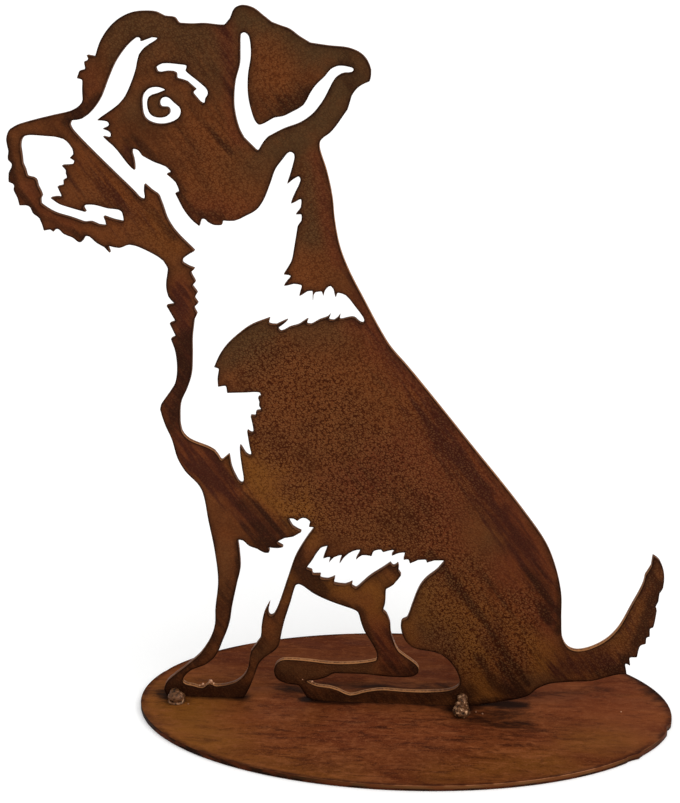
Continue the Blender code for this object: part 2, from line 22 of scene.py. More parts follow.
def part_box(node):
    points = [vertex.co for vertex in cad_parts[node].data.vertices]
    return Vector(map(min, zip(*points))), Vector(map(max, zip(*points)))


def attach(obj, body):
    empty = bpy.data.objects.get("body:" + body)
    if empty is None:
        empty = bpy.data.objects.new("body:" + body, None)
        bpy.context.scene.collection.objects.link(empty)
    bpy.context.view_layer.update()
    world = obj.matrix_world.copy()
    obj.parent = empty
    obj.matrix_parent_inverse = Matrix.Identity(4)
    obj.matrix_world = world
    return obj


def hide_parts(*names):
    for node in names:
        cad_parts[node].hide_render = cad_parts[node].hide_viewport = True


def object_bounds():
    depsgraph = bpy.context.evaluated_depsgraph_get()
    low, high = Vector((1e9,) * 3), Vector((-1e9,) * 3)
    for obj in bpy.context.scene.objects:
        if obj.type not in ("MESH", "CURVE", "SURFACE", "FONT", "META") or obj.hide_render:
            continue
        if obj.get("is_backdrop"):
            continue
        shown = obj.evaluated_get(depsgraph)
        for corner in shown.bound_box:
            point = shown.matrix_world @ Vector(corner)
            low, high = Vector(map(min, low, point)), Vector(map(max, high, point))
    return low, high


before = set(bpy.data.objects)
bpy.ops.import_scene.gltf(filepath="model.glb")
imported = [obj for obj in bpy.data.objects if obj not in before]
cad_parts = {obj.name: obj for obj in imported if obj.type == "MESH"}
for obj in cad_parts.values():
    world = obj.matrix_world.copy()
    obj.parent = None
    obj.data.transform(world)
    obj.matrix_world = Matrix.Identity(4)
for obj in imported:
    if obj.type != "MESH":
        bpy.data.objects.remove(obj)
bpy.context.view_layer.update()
MM = 0.001
plate_low, plate_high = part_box("base_plate")
sheet_low, sheet_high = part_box("figure")
print("solids:", sorted(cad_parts))

# %% [markdown]
# ## The camera
#
# The photograph was taken from a little above the dog's head, almost square to the sheet. The
# place and the angles below were worked out from the outline of the base, so they are used as they
# are. The picture is taller than it is wide, so the sensor's width runs along its height.

# %% Stand the camera where the photographer stood
CAMERA_PLACE = (0.009777, -0.661569, 0.388562)
LOOKS_DOWN = 0.3260
LOOKS_LEFT = 0.0640
FOCAL_PIXELS = 1466.71
PICTURE_HEIGHT = 803
SENSOR = 36.0

bpy.ops.object.camera_add(location=CAMERA_PLACE,
                          rotation=(math.pi / 2 - LOOKS_DOWN, 0.0, LOOKS_LEFT))
camera = bpy.context.object
camera.name = "camera"
camera.data.sensor_width = SENSOR
camera.data.lens = FOCAL_PIXELS * SENSOR / PICTURE_HEIGHT
camera.data.clip_start = 0.01
bpy.context.scene.camera = camera
print("lens in mm:", round(camera.data.lens, 2))

# %% [markdown]
# ## The drawing's own ruler
#
# Everything on the sheet is placed in millimetres of the cutting drawing: x along the sheet, and
# height above the top of the base. These helpers read a mesh in those units, and say how much of a
# brush stroke covers each point. A soft stroke is how the real maker darkens a band with a torch
# or a stain, so the strokes carry the colour changes that are larger than a fingertip.

# %% Rulers and brush strokes
def in_millimetres(mesh):
    """The places of a mesh's points, in millimetres, with height measured from the base's top."""
    flat = np.zeros(len(mesh.vertices) * 3)
    mesh.vertices.foreach_get("co", flat)
    places = flat.reshape(-1, 3) / MM
    places[:, 2] -= plate_high.z / MM
    return places


def distance_to_path(places, path):
    """How far each flat place is from a path of straight stretches."""
    nearest = np.full(len(places), np.inf)
    corners = [np.array(corner, float) for corner in path]
    for first, last in zip(corners, corners[1:] or corners):
        along = last - first
        share = (places - first) @ along / max(along @ along, 1e-9)
        foot = first + np.clip(share, 0.0, 1.0)[:, None] * along
        nearest = np.minimum(nearest, np.hypot(*(places - foot).T))
    return nearest


def brushed(places, strokes, unevenness):
    """How strongly a set of strokes (strength, width, path) covers each place, from 0 to 1."""
    cover = np.zeros(len(places))
    for strength, width, path in strokes:
        reach = distance_to_path(places, path) / width + unevenness
        soft = np.clip(1.0 - reach, 0.0, 1.0)
        cover = np.maximum(cover, strength * soft * soft * (3.0 - 2.0 * soft))
    return cover


OCTAVE_FADE = 0.6
OCTAVE_STEP = 2.0


def wobble(places, size, octaves=3, offset=0.0):
    """Smooth unevenness at each place, about -1 to 1, with blots of the given size."""
    return np.array([noise.fractal(Vector((x / size + offset, y / size, z / size)),
                                   OCTAVE_FADE, OCTAVE_STEP, octaves) for x, y, z in places])


def write_attribute(mesh, name, values):
    """Store one number for each point, for the finish to read."""
    attribute = mesh.attributes.new(name, "FLOAT", "POINT")
    attribute.data.foreach_set("value", np.asarray(values, np.float32))


def open_edges(mesh):
    """How many of a mesh's edges do not join just two faces: none, if it is closed."""
    shape = bmesh.new()
    shape.from_mesh(mesh)
    count = sum(not edge.is_manifold for edge in shape.edges)
    shape.free()
    return count


def everything_deselected():
    """Leave edit mode and select nothing, because an operator acts on all that is selected."""
    if bpy.context.mode != "OBJECT":
        bpy.ops.object.mode_set(mode="OBJECT")
    bpy.ops.object.select_all(action="DESELECT")


print("base top at", round(plate_high.z / MM, 2), "mm")

# %% [markdown]
# ## The cut line
#
# The cutting torch follows the drawing round the dog and round each opening. The solid already has
# this line, as short straight stretches. The line is read from a welded copy of the solid, because
# the solid's own mesh is never changed, and is eased into a smooth curve. Where two stretches meet
# at a sharp corner, such as the tip of a lock of fur, the corner stays. The easing also bows the
# two long straight edges under the feet down into the plate, by 2 and 3 mm, where nothing shows.

# %% Read the cut line from the solid
CORNER = math.radians(17)
CUT_STEP = 0.95
CLOSEST_POINTS = 0.24
FACES_FRONT = -0.9
WELD_GAP = MM / 1000


def cut_lines(node):
    """The closed lines round the front face of a solid, in millimetres, with metal on the left."""
    shape = bmesh.new()
    shape.from_mesh(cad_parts[node].data)
    bmesh.ops.remove_doubles(shape, verts=shape.verts, dist=WELD_GAP)
    following = {}
    for face in shape.faces:
        if face.normal.y > FACES_FRONT:
            continue
        for side in face.loops:
            if all(other.normal.y > FACES_FRONT for other in side.edge.link_faces if other != face):
                following[side.vert] = side.link_loop_next.vert
    lines = []
    while following:
        first, here = next(iter(following.items()))
        del following[first]
        line = [first]
        while here != first:
            line.append(here)
            here = following.pop(here)
        lines.append(np.array([(point.co.x / MM, (point.co.z - plate_high.z) / MM)
                               for point in line]))
    shape.free()
    return lines


def turns(line):
    """How far a closed line turns at each of its points, in radians."""
    leaving = np.roll(line, -1, 0) - line
    coming = line - np.roll(line, 1, 0)
    cross = coming[:, 0] * leaving[:, 1] - coming[:, 1] * leaving[:, 0]
    return np.arctan2(cross, (coming * leaving).sum(1))


def unit(vectors):
    """The same directions, each of length one."""
    return vectors / np.maximum(np.hypot(*vectors.T), 1e-9)[:, None]


def eased(line):
    """The closed line as a smooth curve with a point about every step, its corners kept."""
    chords = np.roll(line, -1, 0) - line
    lengths = np.hypot(*chords.T)
    ways = unit(chords)
    through = unit(ways + np.roll(ways, 1, 0))
    sharp = np.abs(turns(line)) > CORNER
    points = []
    for index, start in enumerate(line):
        after = (index + 1) % len(line)
        leave = (ways[index] if sharp[index] else through[index]) * lengths[index]
        arrive = (ways[index] if sharp[after] else through[after]) * lengths[index]
        steps = max(1, round(lengths[index] / CUT_STEP))
        t = np.arange(steps)[:, None] / steps
        points.append(start * (2 * t**3 - 3 * t**2 + 1) + leave * (t**3 - 2 * t**2 + t)
                      + line[after] * (3 * t**2 - 2 * t**3) + arrive * (t**3 - t**2))
    points = np.concatenate(points)
    kept = [points[0]]
    for point in points[1:]:
        if np.hypot(*(point - kept[-1])) >= CLOSEST_POINTS:
            kept.append(point)
    if np.hypot(*(kept[-1] - kept[0])) < CLOSEST_POINTS:
        kept.pop()
    return np.array(kept)


cuts = [eased(line) for line in cut_lines("figure")]
print("cut lines:", len(cuts), "with", sum(len(cut) for cut in cuts), "points")

# %% [markdown]
# ## The sheet's mesh
#
# The dimples are real dents, a millimetre or two across, so the front needs points closer together
# than that where they lie, and far fewer elsewhere. Cutting a plane with bisects would leave
# slivers along the fur, so this piece is made another way. Points are strewn in a honeycomb over
# the metal, and a Delaunay triangulation joins them to the cut line with well-shaped triangles.
# The walls are strips from the front line to the back line. Each rim has a worn chamfer, which is
# made narrower in the thin tips of the fur, because the inner lines of the two sides would cross
# there.

# %% Say where the dimples lie
DIMPLED = [
    (1.0, 34.0, [(-62, 175), (-40, 160), (-20, 120)]), (1.0, 40.0, [(-35, 150), (0, 105)]),
    (1.0, 26.0, [(-48, 112), (10, 92)]), (0.3, 20.0, [(-74, 122), (-58, 112)]),
    (1.0, 22.0, [(-72, 150), (-58, 134)]), (1.0, 30.0, [(25, 70), (30, 35)]),
    (1.0, 22.0, [(55, 55), (52, 30)])]
FAINTLY_DIMPLED = [
    (0.7, 34, [(-34, 184), (0, 150), (22, 120)]), (0.45, 34, [(-92, 282), (-86, 256)]),
    (0.45, 26, [(-66, 322), (-58, 306)]), (0.4, 18, [(-46, 268), (-44, 226)]),
    (0.3, 30, [(-128, 330), (-96, 326)]), (0.35, 22, [(-140, 262), (-118, 242)]),
    (0.4, 30, [(100, 30), (122, 80)])]
DIMPLE_SPREAD = 1.5
DIMPLES_BEGIN = 0.22


def dimpled(places):
    """How strongly the dimples show at each flat place."""
    return np.clip(DIMPLE_SPREAD * brushed(places, DIMPLED, 0.0), 0.0, 1.0)


print("strokes of dimples, strong and faint:", len(DIMPLED), len(FAINTLY_DIMPLED))

# %% Move the cut lines in by the chamfer
RIM = 0.16
MOST_TRIES = 9
NEAR_CROSSING = 0.5
LEAST_LEAN = 0.62


def inset_line(line, reach):
    """The line moved into the metal, along the middle of each corner."""
    ways = unit(np.roll(line, -1, 0) - line)
    before = np.roll(ways, 1, 0)
    middle = unit(np.stack([-(ways + before)[:, 1], (ways + before)[:, 0]], 1))
    lean = np.maximum((middle * np.stack([-ways[:, 1], ways[:, 0]], 1)).sum(1), LEAST_LEAN)
    return line + middle * (reach / lean)[:, None]


def triangulated(lines, loose):
    """All the points, those of the lines first, and a triangulation that keeps the lines."""
    points = np.concatenate([*lines, loose])
    sides, first = [], 0
    for line in lines:
        sides += [(first + step, first + (step + 1) % len(line)) for step in range(len(line))]
        first += len(line)
    return points, delaunay_2d_cdt([Vector(point) for point in points], sides, [], 0, 1e-6, True)


def clear_insets(lines, reach):
    """The lines moved into the metal, and by less in a thin tip, where they would cross."""
    reaches = [np.full(len(line), reach) for line in lines]
    for _ in range(MOST_TRIES):
        insets = [inset_line(line, own) for line, own in zip(lines, reaches)]
        made = triangulated(insets, np.zeros((0, 2)))[1]
        crossed = np.array([place for place, olds in zip(made[0], made[3]) if len(olds) != 1])
        if not len(crossed):
            break
        for line, own in zip(insets, reaches):
            gaps = np.hypot(*(line[:, None] - crossed[None]).transpose(2, 0, 1)).min(1)
            own[gaps < NEAR_CROSSING] *= 0.5
    print("crossings left at the rims:", len(crossed))
    return insets


rims = clear_insets(cuts, RIM)

# %% Strew points over the metal
BODY_PITCH = 0.72
PLAIN_PITCH = 1.35
BACK_PITCH = 2.6
CLEARANCE = 0.62


def stretches(lines):
    """The starts and the ends of all the straight stretches of the lines."""
    return np.concatenate(lines), np.concatenate([np.roll(line, -1, 0) for line in lines])


def crossings(starts, ends, height):
    """How far along the sheet the stretches cross one height."""
    crosses = (starts[:, 1] <= height) != (ends[:, 1] <= height)
    share = (height - starts[crosses, 1]) / (ends[crosses, 1] - starts[crosses, 1])
    return starts[crosses, 0] + share * (ends[crosses, 0] - starts[crosses, 0])


def nearest_tree(points):
    """A tree that finds the nearest of a set of flat places."""
    tree = kdtree.KDTree(len(points))
    for number, (x, z) in enumerate(points):
        tree.insert((x, z, 0.0), number)
    tree.balance()
    return tree


def honeycomb(lines, pitch, wanted=None):
    """Places in the metal on a honeycomb grid, clear of the lines, where wanted says so."""
    starts, ends = stretches(lines)
    tree = nearest_tree(starts)
    low, high = starts.min(0), starts.max(0)
    found = []
    for row, z in enumerate(np.arange(low[1] + pitch / 2, high[1], pitch * math.sqrt(3) / 2)):
        walls = np.sort(crossings(starts, ends, z))
        across = np.arange(low[0] + (row % 2) * pitch / 2, high[0], pitch)
        inside = across[np.searchsorted(walls, across) % 2 == 1]
        found.append(np.stack([inside, np.full(len(inside), z)], 1))
    found = np.concatenate(found)
    if wanted:
        found = found[wanted(found)]
    clear = [tree.find((x, z, 0.0))[2] > pitch * CLEARANCE for x, z in found]
    return found[np.array(clear)]


body_points = honeycomb(rims, BODY_PITCH, lambda places: dimpled(places) > DIMPLES_BEGIN)
plain_points = honeycomb(rims, PLAIN_PITCH, lambda places: dimpled(places) <= DIMPLES_BEGIN)
back_points = honeycomb(rims, BACK_PITCH)
print("points on the body, on the rest and on the back:",
      len(body_points), len(plain_points), len(back_points))

# %% Join the points into two faces
def inside_lines(lines, places):
    """Whether each flat place is on the metal, by counting the lines to its right."""
    starts, ends = stretches(lines)
    return np.array([(crossings(starts, ends, z) > x).sum() % 2 == 1 for x, z in places], bool)


def face_triangles(lines, loose):
    """Triangles over the metal, whose first points are those of the lines, in order."""
    points, made = triangulated(lines, loose)
    first = sum(len(line) for line in lines)
    origin = np.array([olds[0] if olds else -1 for olds in made[3]])
    triangles = origin[np.array([face for face in made[2] if len(face) == 3])]
    triangles = triangles[(triangles >= 0).all(1)]
    on_line = (triangles < first).all(1)
    middles = points[triangles[on_line]].mean(1)
    keep = np.ones(len(triangles), bool)
    keep[on_line] = inside_lines(lines, middles)
    triangles = triangles[keep]
    a, b, c = (points[triangles[:, corner]] for corner in range(3))
    left = (b - a)[:, 0] * (c - a)[:, 1] - (b - a)[:, 1] * (c - a)[:, 0] > 0
    triangles[~left] = triangles[~left][:, ::-1]
    return points, triangles


front_points, front_triangles = face_triangles(rims, np.concatenate([body_points, plain_points]))
rear_points, rear_triangles = face_triangles(rims, back_points)
print("triangles on the front and the back:", len(front_triangles), len(rear_triangles))

# %% [markdown]
# ## Dents, waves and walls
#
# Under its rust the body's steel is dented all over like orange peel, by about a tenth of a
# millimetre. The dents fade before the head, the legs and the back. A slow wave of the whole sheet
# keeps the reflections from looking machine-flat. The relief fades out at the rim, so it doesn't
# touch the outline.

# %% Raise the relief
HALF = (sheet_high.y - sheet_low.y) / MM / 2
PEEL_SIZE = 1.25
PEEL_DEPTH = 0.11
SCALE_SIZE = 4.5
SCALE_DEPTH = 0.05
WAVE_SIZE = 42.0
WAVE_DEPTH = 0.10
SCALE_OFF_DIMPLES = 0.35
PEEL_SEED, SCALE_SEED, WAVE_SEED = 11.0, 23.0, 37.0
FRONT_FADE = 1.6
BACK_FADE = 3.0


def relief(points, dents):
    """How far each place of a face stands out, in millimetres."""
    places = np.column_stack([points, np.zeros(len(points))])
    peel = wobble(places, PEEL_SIZE, 1, PEEL_SEED)
    scale = wobble(places, SCALE_SIZE, 2, SCALE_SEED)
    wave = wobble(places, WAVE_SIZE, 2, WAVE_SEED)
    scaly = SCALE_OFF_DIMPLES + (1.0 - SCALE_OFF_DIMPLES) * dents
    return PEEL_DEPTH * peel * dents + SCALE_DEPTH * scale * scaly + WAVE_DEPTH * wave


line_points = np.concatenate(cuts)
near_rim = nearest_tree(line_points)


def to_rim(points):
    """How far each flat place is from the nearest cut line, in millimetres."""
    return np.array([near_rim.find((x, z, 0.0))[2] for x, z in points])


front_rim_gap = to_rim(front_points)
rear_rim_gap = to_rim(rear_points)
front_fade = np.clip((front_rim_gap - RIM) / FRONT_FADE, 0.0, 1.0)
rear_fade = np.clip((rear_rim_gap - RIM) / BACK_FADE, 0.0, 1.0)
front_y = -HALF - relief(front_points, dimpled(front_points)) * front_fade
rear_y = HALF + relief(rear_points, np.zeros(len(rear_points))) * rear_fade
print("the front's relief in mm, from", round(float((-HALF - front_y).min()), 2), "to",
      round(float((-HALF - front_y).max()), 2))

# %% Join the two faces by the walls
FOOT_HEIGHT = 0.7
FOOT_DROP = 0.34

line_count = len(line_points)
wall_rows = [np.column_stack([line_points[:, 0], np.full(line_count, depth), line_points[:, 1]])
             for depth in (-HALF + RIM, 0.0, HALF - RIM)]

front_places = np.column_stack([front_points[:, 0], front_y, front_points[:, 1]])
rear_places = np.column_stack([rear_points[:, 0], rear_y, rear_points[:, 1]])
all_places = np.concatenate([front_places, *wall_rows, rear_places])
row_starts = [0, *(len(front_places) + row * line_count for row in range(4))]

following = []
for cut in cuts:
    first = len(following)
    following += [first + (step + 1) % len(cut) for step in range(len(cut))]
following = np.array(following)
here = np.arange(line_count)
strips = []
for near, far in zip(row_starts, row_starts[1:]):
    strips.append(np.column_stack([near + following, near + here, far + here]))
    strips.append(np.column_stack([near + following, far + here, far + following]))
triangles = np.concatenate([front_triangles, *strips, rear_triangles[:, ::-1] + row_starts[-1]])

# The feet reach down to the base, onto which their edges are welded.
low_foot = all_places[:, 2] < FOOT_HEIGHT
all_places[low_foot, 2] -= FOOT_DROP * (1.0 - all_places[low_foot, 2] / FOOT_HEIGHT) ** 0.5
all_places[:, 2] += plate_high.z / MM

sheet_mesh = bpy.data.meshes.new("cut_sheet")
sheet_mesh.from_pydata((all_places * MM).tolist(), [], triangles.tolist())
sheet_mesh.shade_smooth()
sheet = bpy.data.objects.new("cut_sheet", sheet_mesh)
bpy.context.scene.collection.objects.link(sheet)
print("the sheet has", len(triangles), "triangles and", open_edges(sheet_mesh), "open edges")

# %% [markdown]
# ## Where the colours lie
#
# The maker let the sheet rust, then heated and waxed it, so the brown shifts from olive on the
# head to red along the back, with plum bands down the back and the chest. Dark strokes lay grime
# and painted shade in the corners, along the feet and down the edges of the legs. Some of the cut
# walls are bared and carry a painted highlight, and the dimples show faintly round the body too.
# Each of these is a set of soft brush strokes in the drawing's millimetres, given as strength,
# width and path, and each is stored as a number on the mesh's points.

# %% Say where the brown shifts
OLIVE = [
    (0.8, 30, [(-134, 334), (-110, 334), (-88, 330), (-86, 316)]),
    (1.0, 20, [(-80, 340), (-58, 332), (-30, 322), (-24, 314), (-40, 298)]),
    (1.0, 22, [(-76, 276), (-60, 284), (-44, 296)]), (0.9, 22, [(-86, 188), (-70, 194)]),
    (0.6, 18, [(-60, 198), (-36, 198)]), (0.6, 16, [(-124, 300), (-110, 302)]),
    (0.8, 12, [(-46, 274), (-46, 240)]), (0.5, 12, [(-60, 18), (-34, 16), (-20, 18)]),
    (0.6, 18, [(8, 62), (14, 40), (28, 34)]), (0.6, 16, [(62, 16), (72, 20)]),
    (0.5, 14, [(28, 100), (44, 88)]), (0.5, 12, [(-68, 44), (-72, 28)]),
    (0.8, 8, [(-91, 84), (-93, 60)])]
WARM = [
    (0.8, 32, [(-88, 290), (-88, 270), (-86, 258)]), (0.9, 18, [(-64, 320), (-62, 308)]),
    (0.8, 14, [(-150, 276), (-128, 258), (-112, 238)]), (0.7, 16, [(-44, 226), (-50, 220)]),
    (0.6, 30, [(-50, 168), (-24, 176), (-8, 160)]), (0.7, 18, [(48, 62), (56, 40), (66, 30)]),
    (0.7, 10, [(-90, 92), (-94, 70), (-93, 55)]), (0.6, 14, [(-160, 248), (-138, 244)]),
    (0.8, 8, [(-18, 58), (-12, 44), (-8, 34)]), (0.8, 8, [(-66, 50), (-70, 36)]),
    (0.4, 10, [(-98, 60), (-100, 40)])]
GOLD = [
    (1.0, 20, [(-78, 126), (-70, 112), (-54, 102)]), (0.6, 20, [(12, 58), (34, 50)]),
    (0.8, 13, [(54, 50), (62, 39), (68, 26)]), (0.8, 14, [(-38, 64), (-14, 64), (-10, 50)]),
    (0.35, 11, [(106, 42), (113, 60)]), (0.3, 16, [(-118, 244), (-112, 236)]),
    (0.8, 14, [(32, 40), (38, 20), (40, 8)]), (0.3, 14, [(20, 96), (30, 96)]),
    (0.5, 8, [(0, 49), (3, 38)]), (0.6, 10, [(-62, 60), (-60, 70)])]
RED = [
    (1.0, 16, [(-22, 204), (-6, 182), (14, 156), (34, 130), (54, 100), (66, 76), (70, 50)]),
    (0.9, 26, [(-24, 120), (10, 140), (20, 96)]), (0.9, 12, [(-100, 134), (-84, 112), (-66, 94)]),
    (0.8, 8, [(-84, 336), (-80, 310), (-78, 286)]), (0.4, 12, [(-146, 316), (-142, 300)]),
    (0.7, 14, [(-96, 252), (-78, 250)]),
    (0.9, 12, [(-107, 214), (-108, 190), (-106, 168), (-112, 150), (-104, 128)]),
    (0.8, 14, [(-12, 42), (-6, 24)]), (0.9, 22, [(50, 80), (62, 56)]),
    (0.6, 12, [(-178, 262), (-160, 246)]), (0.8, 7, [(-43, 278), (-39, 252), (-33, 230)])]
PLUM = [
    (1.0, 12, [(5, 160), (22, 135), (38, 113), (53, 93), (64, 74), (72, 56)]),
    (0.6, 8, [(-26, 206), (-8, 180), (6, 162)]),
    (0.3, 5, [(-42, 276), (-39, 252), (-32, 230), (-20, 206)]),
    (1.0, 14, [(-100, 128), (-82, 106), (-66, 92)]),
    (1.0, 10, [(-108, 212), (-107, 196), (-106, 170), (-114, 152)]),
    (0.8, 7, [(-110, 140), (-102, 128)]), (0.9, 12, [(80, 24), (104, 26)]),
    (0.55, 8, [(-12, 38), (-2, 20), (6, 18)]), (0.6, 6, [(-84, 334), (-80, 306)]),
    (0.45, 22, [(-152, 268), (-128, 252)]), (0.55, 10, [(42, 42), (48, 28), (56, 8)]),
    (0.5, 9, [(108, 46), (114, 66)]), (0.7, 8, [(-150, 306), (-152, 296)]),
    (0.9, 5, [(-131, 279), (-127, 272)])]
print("strokes of the shifts:", sum(map(len, (OLIVE, WARM, GOLD, RED, PLUM))))

# %% Say where the grime and painted shade, the streaks, and the bare and lit walls lie
# Dark grime and painted shade: these strokes darken real rust patches, and also the shade along the
# feet's foot lines, in the corners, under the belly strap and down the edges of the legs.
DARK_GRIME_AND_SHADE = [
    (0.42, 30, [(-18, 124), (4, 106)]), (0.32, 20, [(-90, 322), (-86, 300)]),
    (1.0, 4.6, [(12, 84), (38, 50), (62, 14)]), (0.6, 3.6, [(30, 84), (46, 62), (60, 42)]),
    (0.7, 12, [(62, 74), (68, 64), (72, 54)]),
    (0.9, 9, [(-108, 192), (-107, 166), (-113, 154), (-114, 148)]),
    (0.8, 7, [(38, 26), (46, 12), (60, 6)]), (0.9, 6, [(50, 24), (60, 8)]),
    (0.9, 5, [(76, 70), (77, 44)]), (0.8, 14, [(-74, 96), (-62, 93)]),
    (0.8, 9, [(-79, 110), (-69, 100)]), (0.9, 13, [(-55, 299), (-46, 307)]),
    (0.55, 16, [(-68, 302), (-58, 296)]), (0.6, 8, [(-30, 320), (-24, 314), (-28, 310)]),
    (0.7, 4, [(-100, 302), (-90, 288), (-82, 280)]), (0.5, 4, [(-108, 296), (-96, 276)]),
    (0.7, 5, [(-128, 286), (-114, 276), (-104, 262)]),
    (0.8, 6, [(-108, 262), (-100, 252), (-88, 250)]), (0.7, 5, [(-126, 260), (-110, 240)]),
    (0.7, 4, [(-184, 286), (-182, 262), (-172, 250), (-152, 240)]),
    (0.9, 5, [(-157, 293), (-146, 300), (-142, 304)]), (0.7, 7, [(-88, 66), (-92, 48), (-98, 30)]),
    (0.8, 4, [(-96, 90), (-100, 50), (-106, 26)]), (0.7, 4, [(-88, 60), (-94, 36)]),
    (0.9, 9, [(-100, 34), (-108, 22), (-120, 12)]), (1.0, 11, [(-124, 4), (-100, 3), (-82, 5)]),
    (0.9, 8, [(-55, 92), (-54, 78)]), (1.0, 11, [(-52, 74), (-47, 67), (-41, 62)]),
    (1.0, 5.5, [(-82, 86), (-83, 68), (-86, 54), (-90, 34)]), (1.0, 8, [(-72, 88), (-60, 86)]),
    (0.5, 5, [(-58, 66), (-66, 44)]), (0.55, 7, [(-70, 36), (-78, 20), (-86, 8)]),
    (0.6, 4, [(-54, 66), (-36, 58), (-22, 52), (-18, 40), (-14, 26)]),
    (0.7, 4, [(-10, 78), (-4, 74)]), (0.8, 9, [(-68, 14), (-58, 12)]),
    (0.75, 8, [(-52, 4), (-20, 3), (20, 4)]), (1.0, 12, [(24, 9), (31, 6)]),
    (0.8, 6, [(32, 1), (62, 4)]), (0.6, 7, [(-10, 20), (6, 18)]), (0.8, 9, [(6, 20), (20, 18)]),
    (0.3, 14, [(-114, 323), (-106, 320)]), (0.45, 9, [(-16, 72), (-6, 63)]),
    (0.3, 12, [(-158, 267), (-150, 260)]), (1.0, 7, [(110, 26), (117, 44), (124, 70)]),
    (0.8, 7, [(120, 72), (121, 86)]), (0.7, 8, [(96, 20), (112, 24)])]
STREAKED = [
    (0.55, 60, [(-150, 270), (-96, 276)]), (0.35, 30, [(-96, 320), (-84, 300)]),
    (0.8, 24, [(30, 74), (56, 40), (70, 24)]),
    (1.0, 22, [(-10, 180), (20, 140), (52, 96), (66, 60)]), (0.8, 20, [(-100, 130), (-70, 95)])]

# Bared steel and painted highlight: where these strokes lie the cut walls are pale tan, mostly the
# walls that face up toward the light.
BARED_AND_LIT = [
    (1.0, 8, [(-60, 25), (-32, 24), (-13, 25)]),
    (0.75, 8, [(-50, 11), (-37, 8), (-28, 4), (-13, 8), (11, 8)]), (0.3, 7, [(11, 8), (18, 9)]),
    (0.85, 8, [(-3, 31), (8, 24), (9, 19)]), (0.7, 7, [(-112, 8), (-98, 8)]),
    (0.9, 9, [(79, 42), (87, 35), (103, 38), (109, 50)]), (0.5, 8, [(110, 50), (119, 77)]),
    (0.6, 7, [(-109, 142), (-98, 136), (-90, 131)]),
    (0.8, 8, [(-42, 284), (-39, 268), (-36, 249), (-30, 230), (-20, 208), (5, 174), (35, 139),
              (52, 110)]),
    (0.8, 8, [(52, 110), (77, 64), (79, 44)])]
print("strokes of grime, streaks and bared edges:", len(DARK_GRIME_AND_SHADE) + len(STREAKED) + len(BARED_AND_LIT))

# %% Brush them onto the sheet
BLOT_SIZE, BLOT_SEED = 13.0, 51.0
EDGE_REACH = 6.0

flat_places = all_places[:, [0, 2]] - [0.0, plate_high.z / MM]
nowhere = np.zeros(len(all_places))
blots = wobble(np.column_stack([flat_places[:, 0], nowhere, flat_places[:, 1]]),
               BLOT_SIZE, 4, BLOT_SEED)
for name, strokes, ragged in (("olive", OLIVE, 0.30), ("warm", WARM, 0.30), ("gold", GOLD, 0.35),
                              ("red", RED, 0.22), ("plum", PLUM, 0.18), ("dark", DARK_GRIME_AND_SHADE, 0.22),
                              ("streaked", STREAKED, 0.0), ("bare_and_lit", BARED_AND_LIT, 0.10)):
    write_attribute(sheet_mesh, name, brushed(flat_places, strokes, ragged * blots))
on_wall, on_front, edge_gap = nowhere.copy(), nowhere.copy(), nowhere.copy()
on_wall[row_starts[1]:row_starts[4]] = 1.0
on_front[:row_starts[1]] = 1.0
edge_gap[:row_starts[1]] = front_rim_gap
edge_gap[row_starts[4]:] = rear_rim_gap
write_attribute(sheet_mesh, "wall", on_wall)
write_attribute(sheet_mesh, "edge", np.clip(1.0 - edge_gap / EDGE_REACH, 0.0, 1.0))
shown = np.maximum(dimpled(flat_places), brushed(flat_places, FAINTLY_DIMPLED, 0.0))
write_attribute(sheet_mesh, "peel", shown * on_front)
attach(sheet, "root")
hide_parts("figure")
print("attributes:", [item.name for item in sheet_mesh.attributes if item.data_type == "FLOAT"])

# %% [markdown]
# ## Mixing a finish
#
# A finish is a small network of nodes. Each pattern reads the Object coordinates, so it is fixed
# to the steel and has a real size. This helper keeps the networks short: it makes a noise whose
# blots have a stated size in millimetres, stretched or turned, and lays one colour over another by
# the product of some shares.

# %% A helper for mixing finishes
def colour(red, green, blue):
    """A colour as a paint card gives it, 0 to 255, in the linear form that shaders use."""
    parts = [part / 255 for part in (red, green, blue)]
    return (*(part / 12.92 if part < 0.04045 else ((part + 0.055) / 1.055) ** 2.4
              for part in parts), 1.0)


def metres(millimetres):
    """A place or a size given in millimetres, in the metres that Blender uses."""
    return [part * MM for part in millimetres]


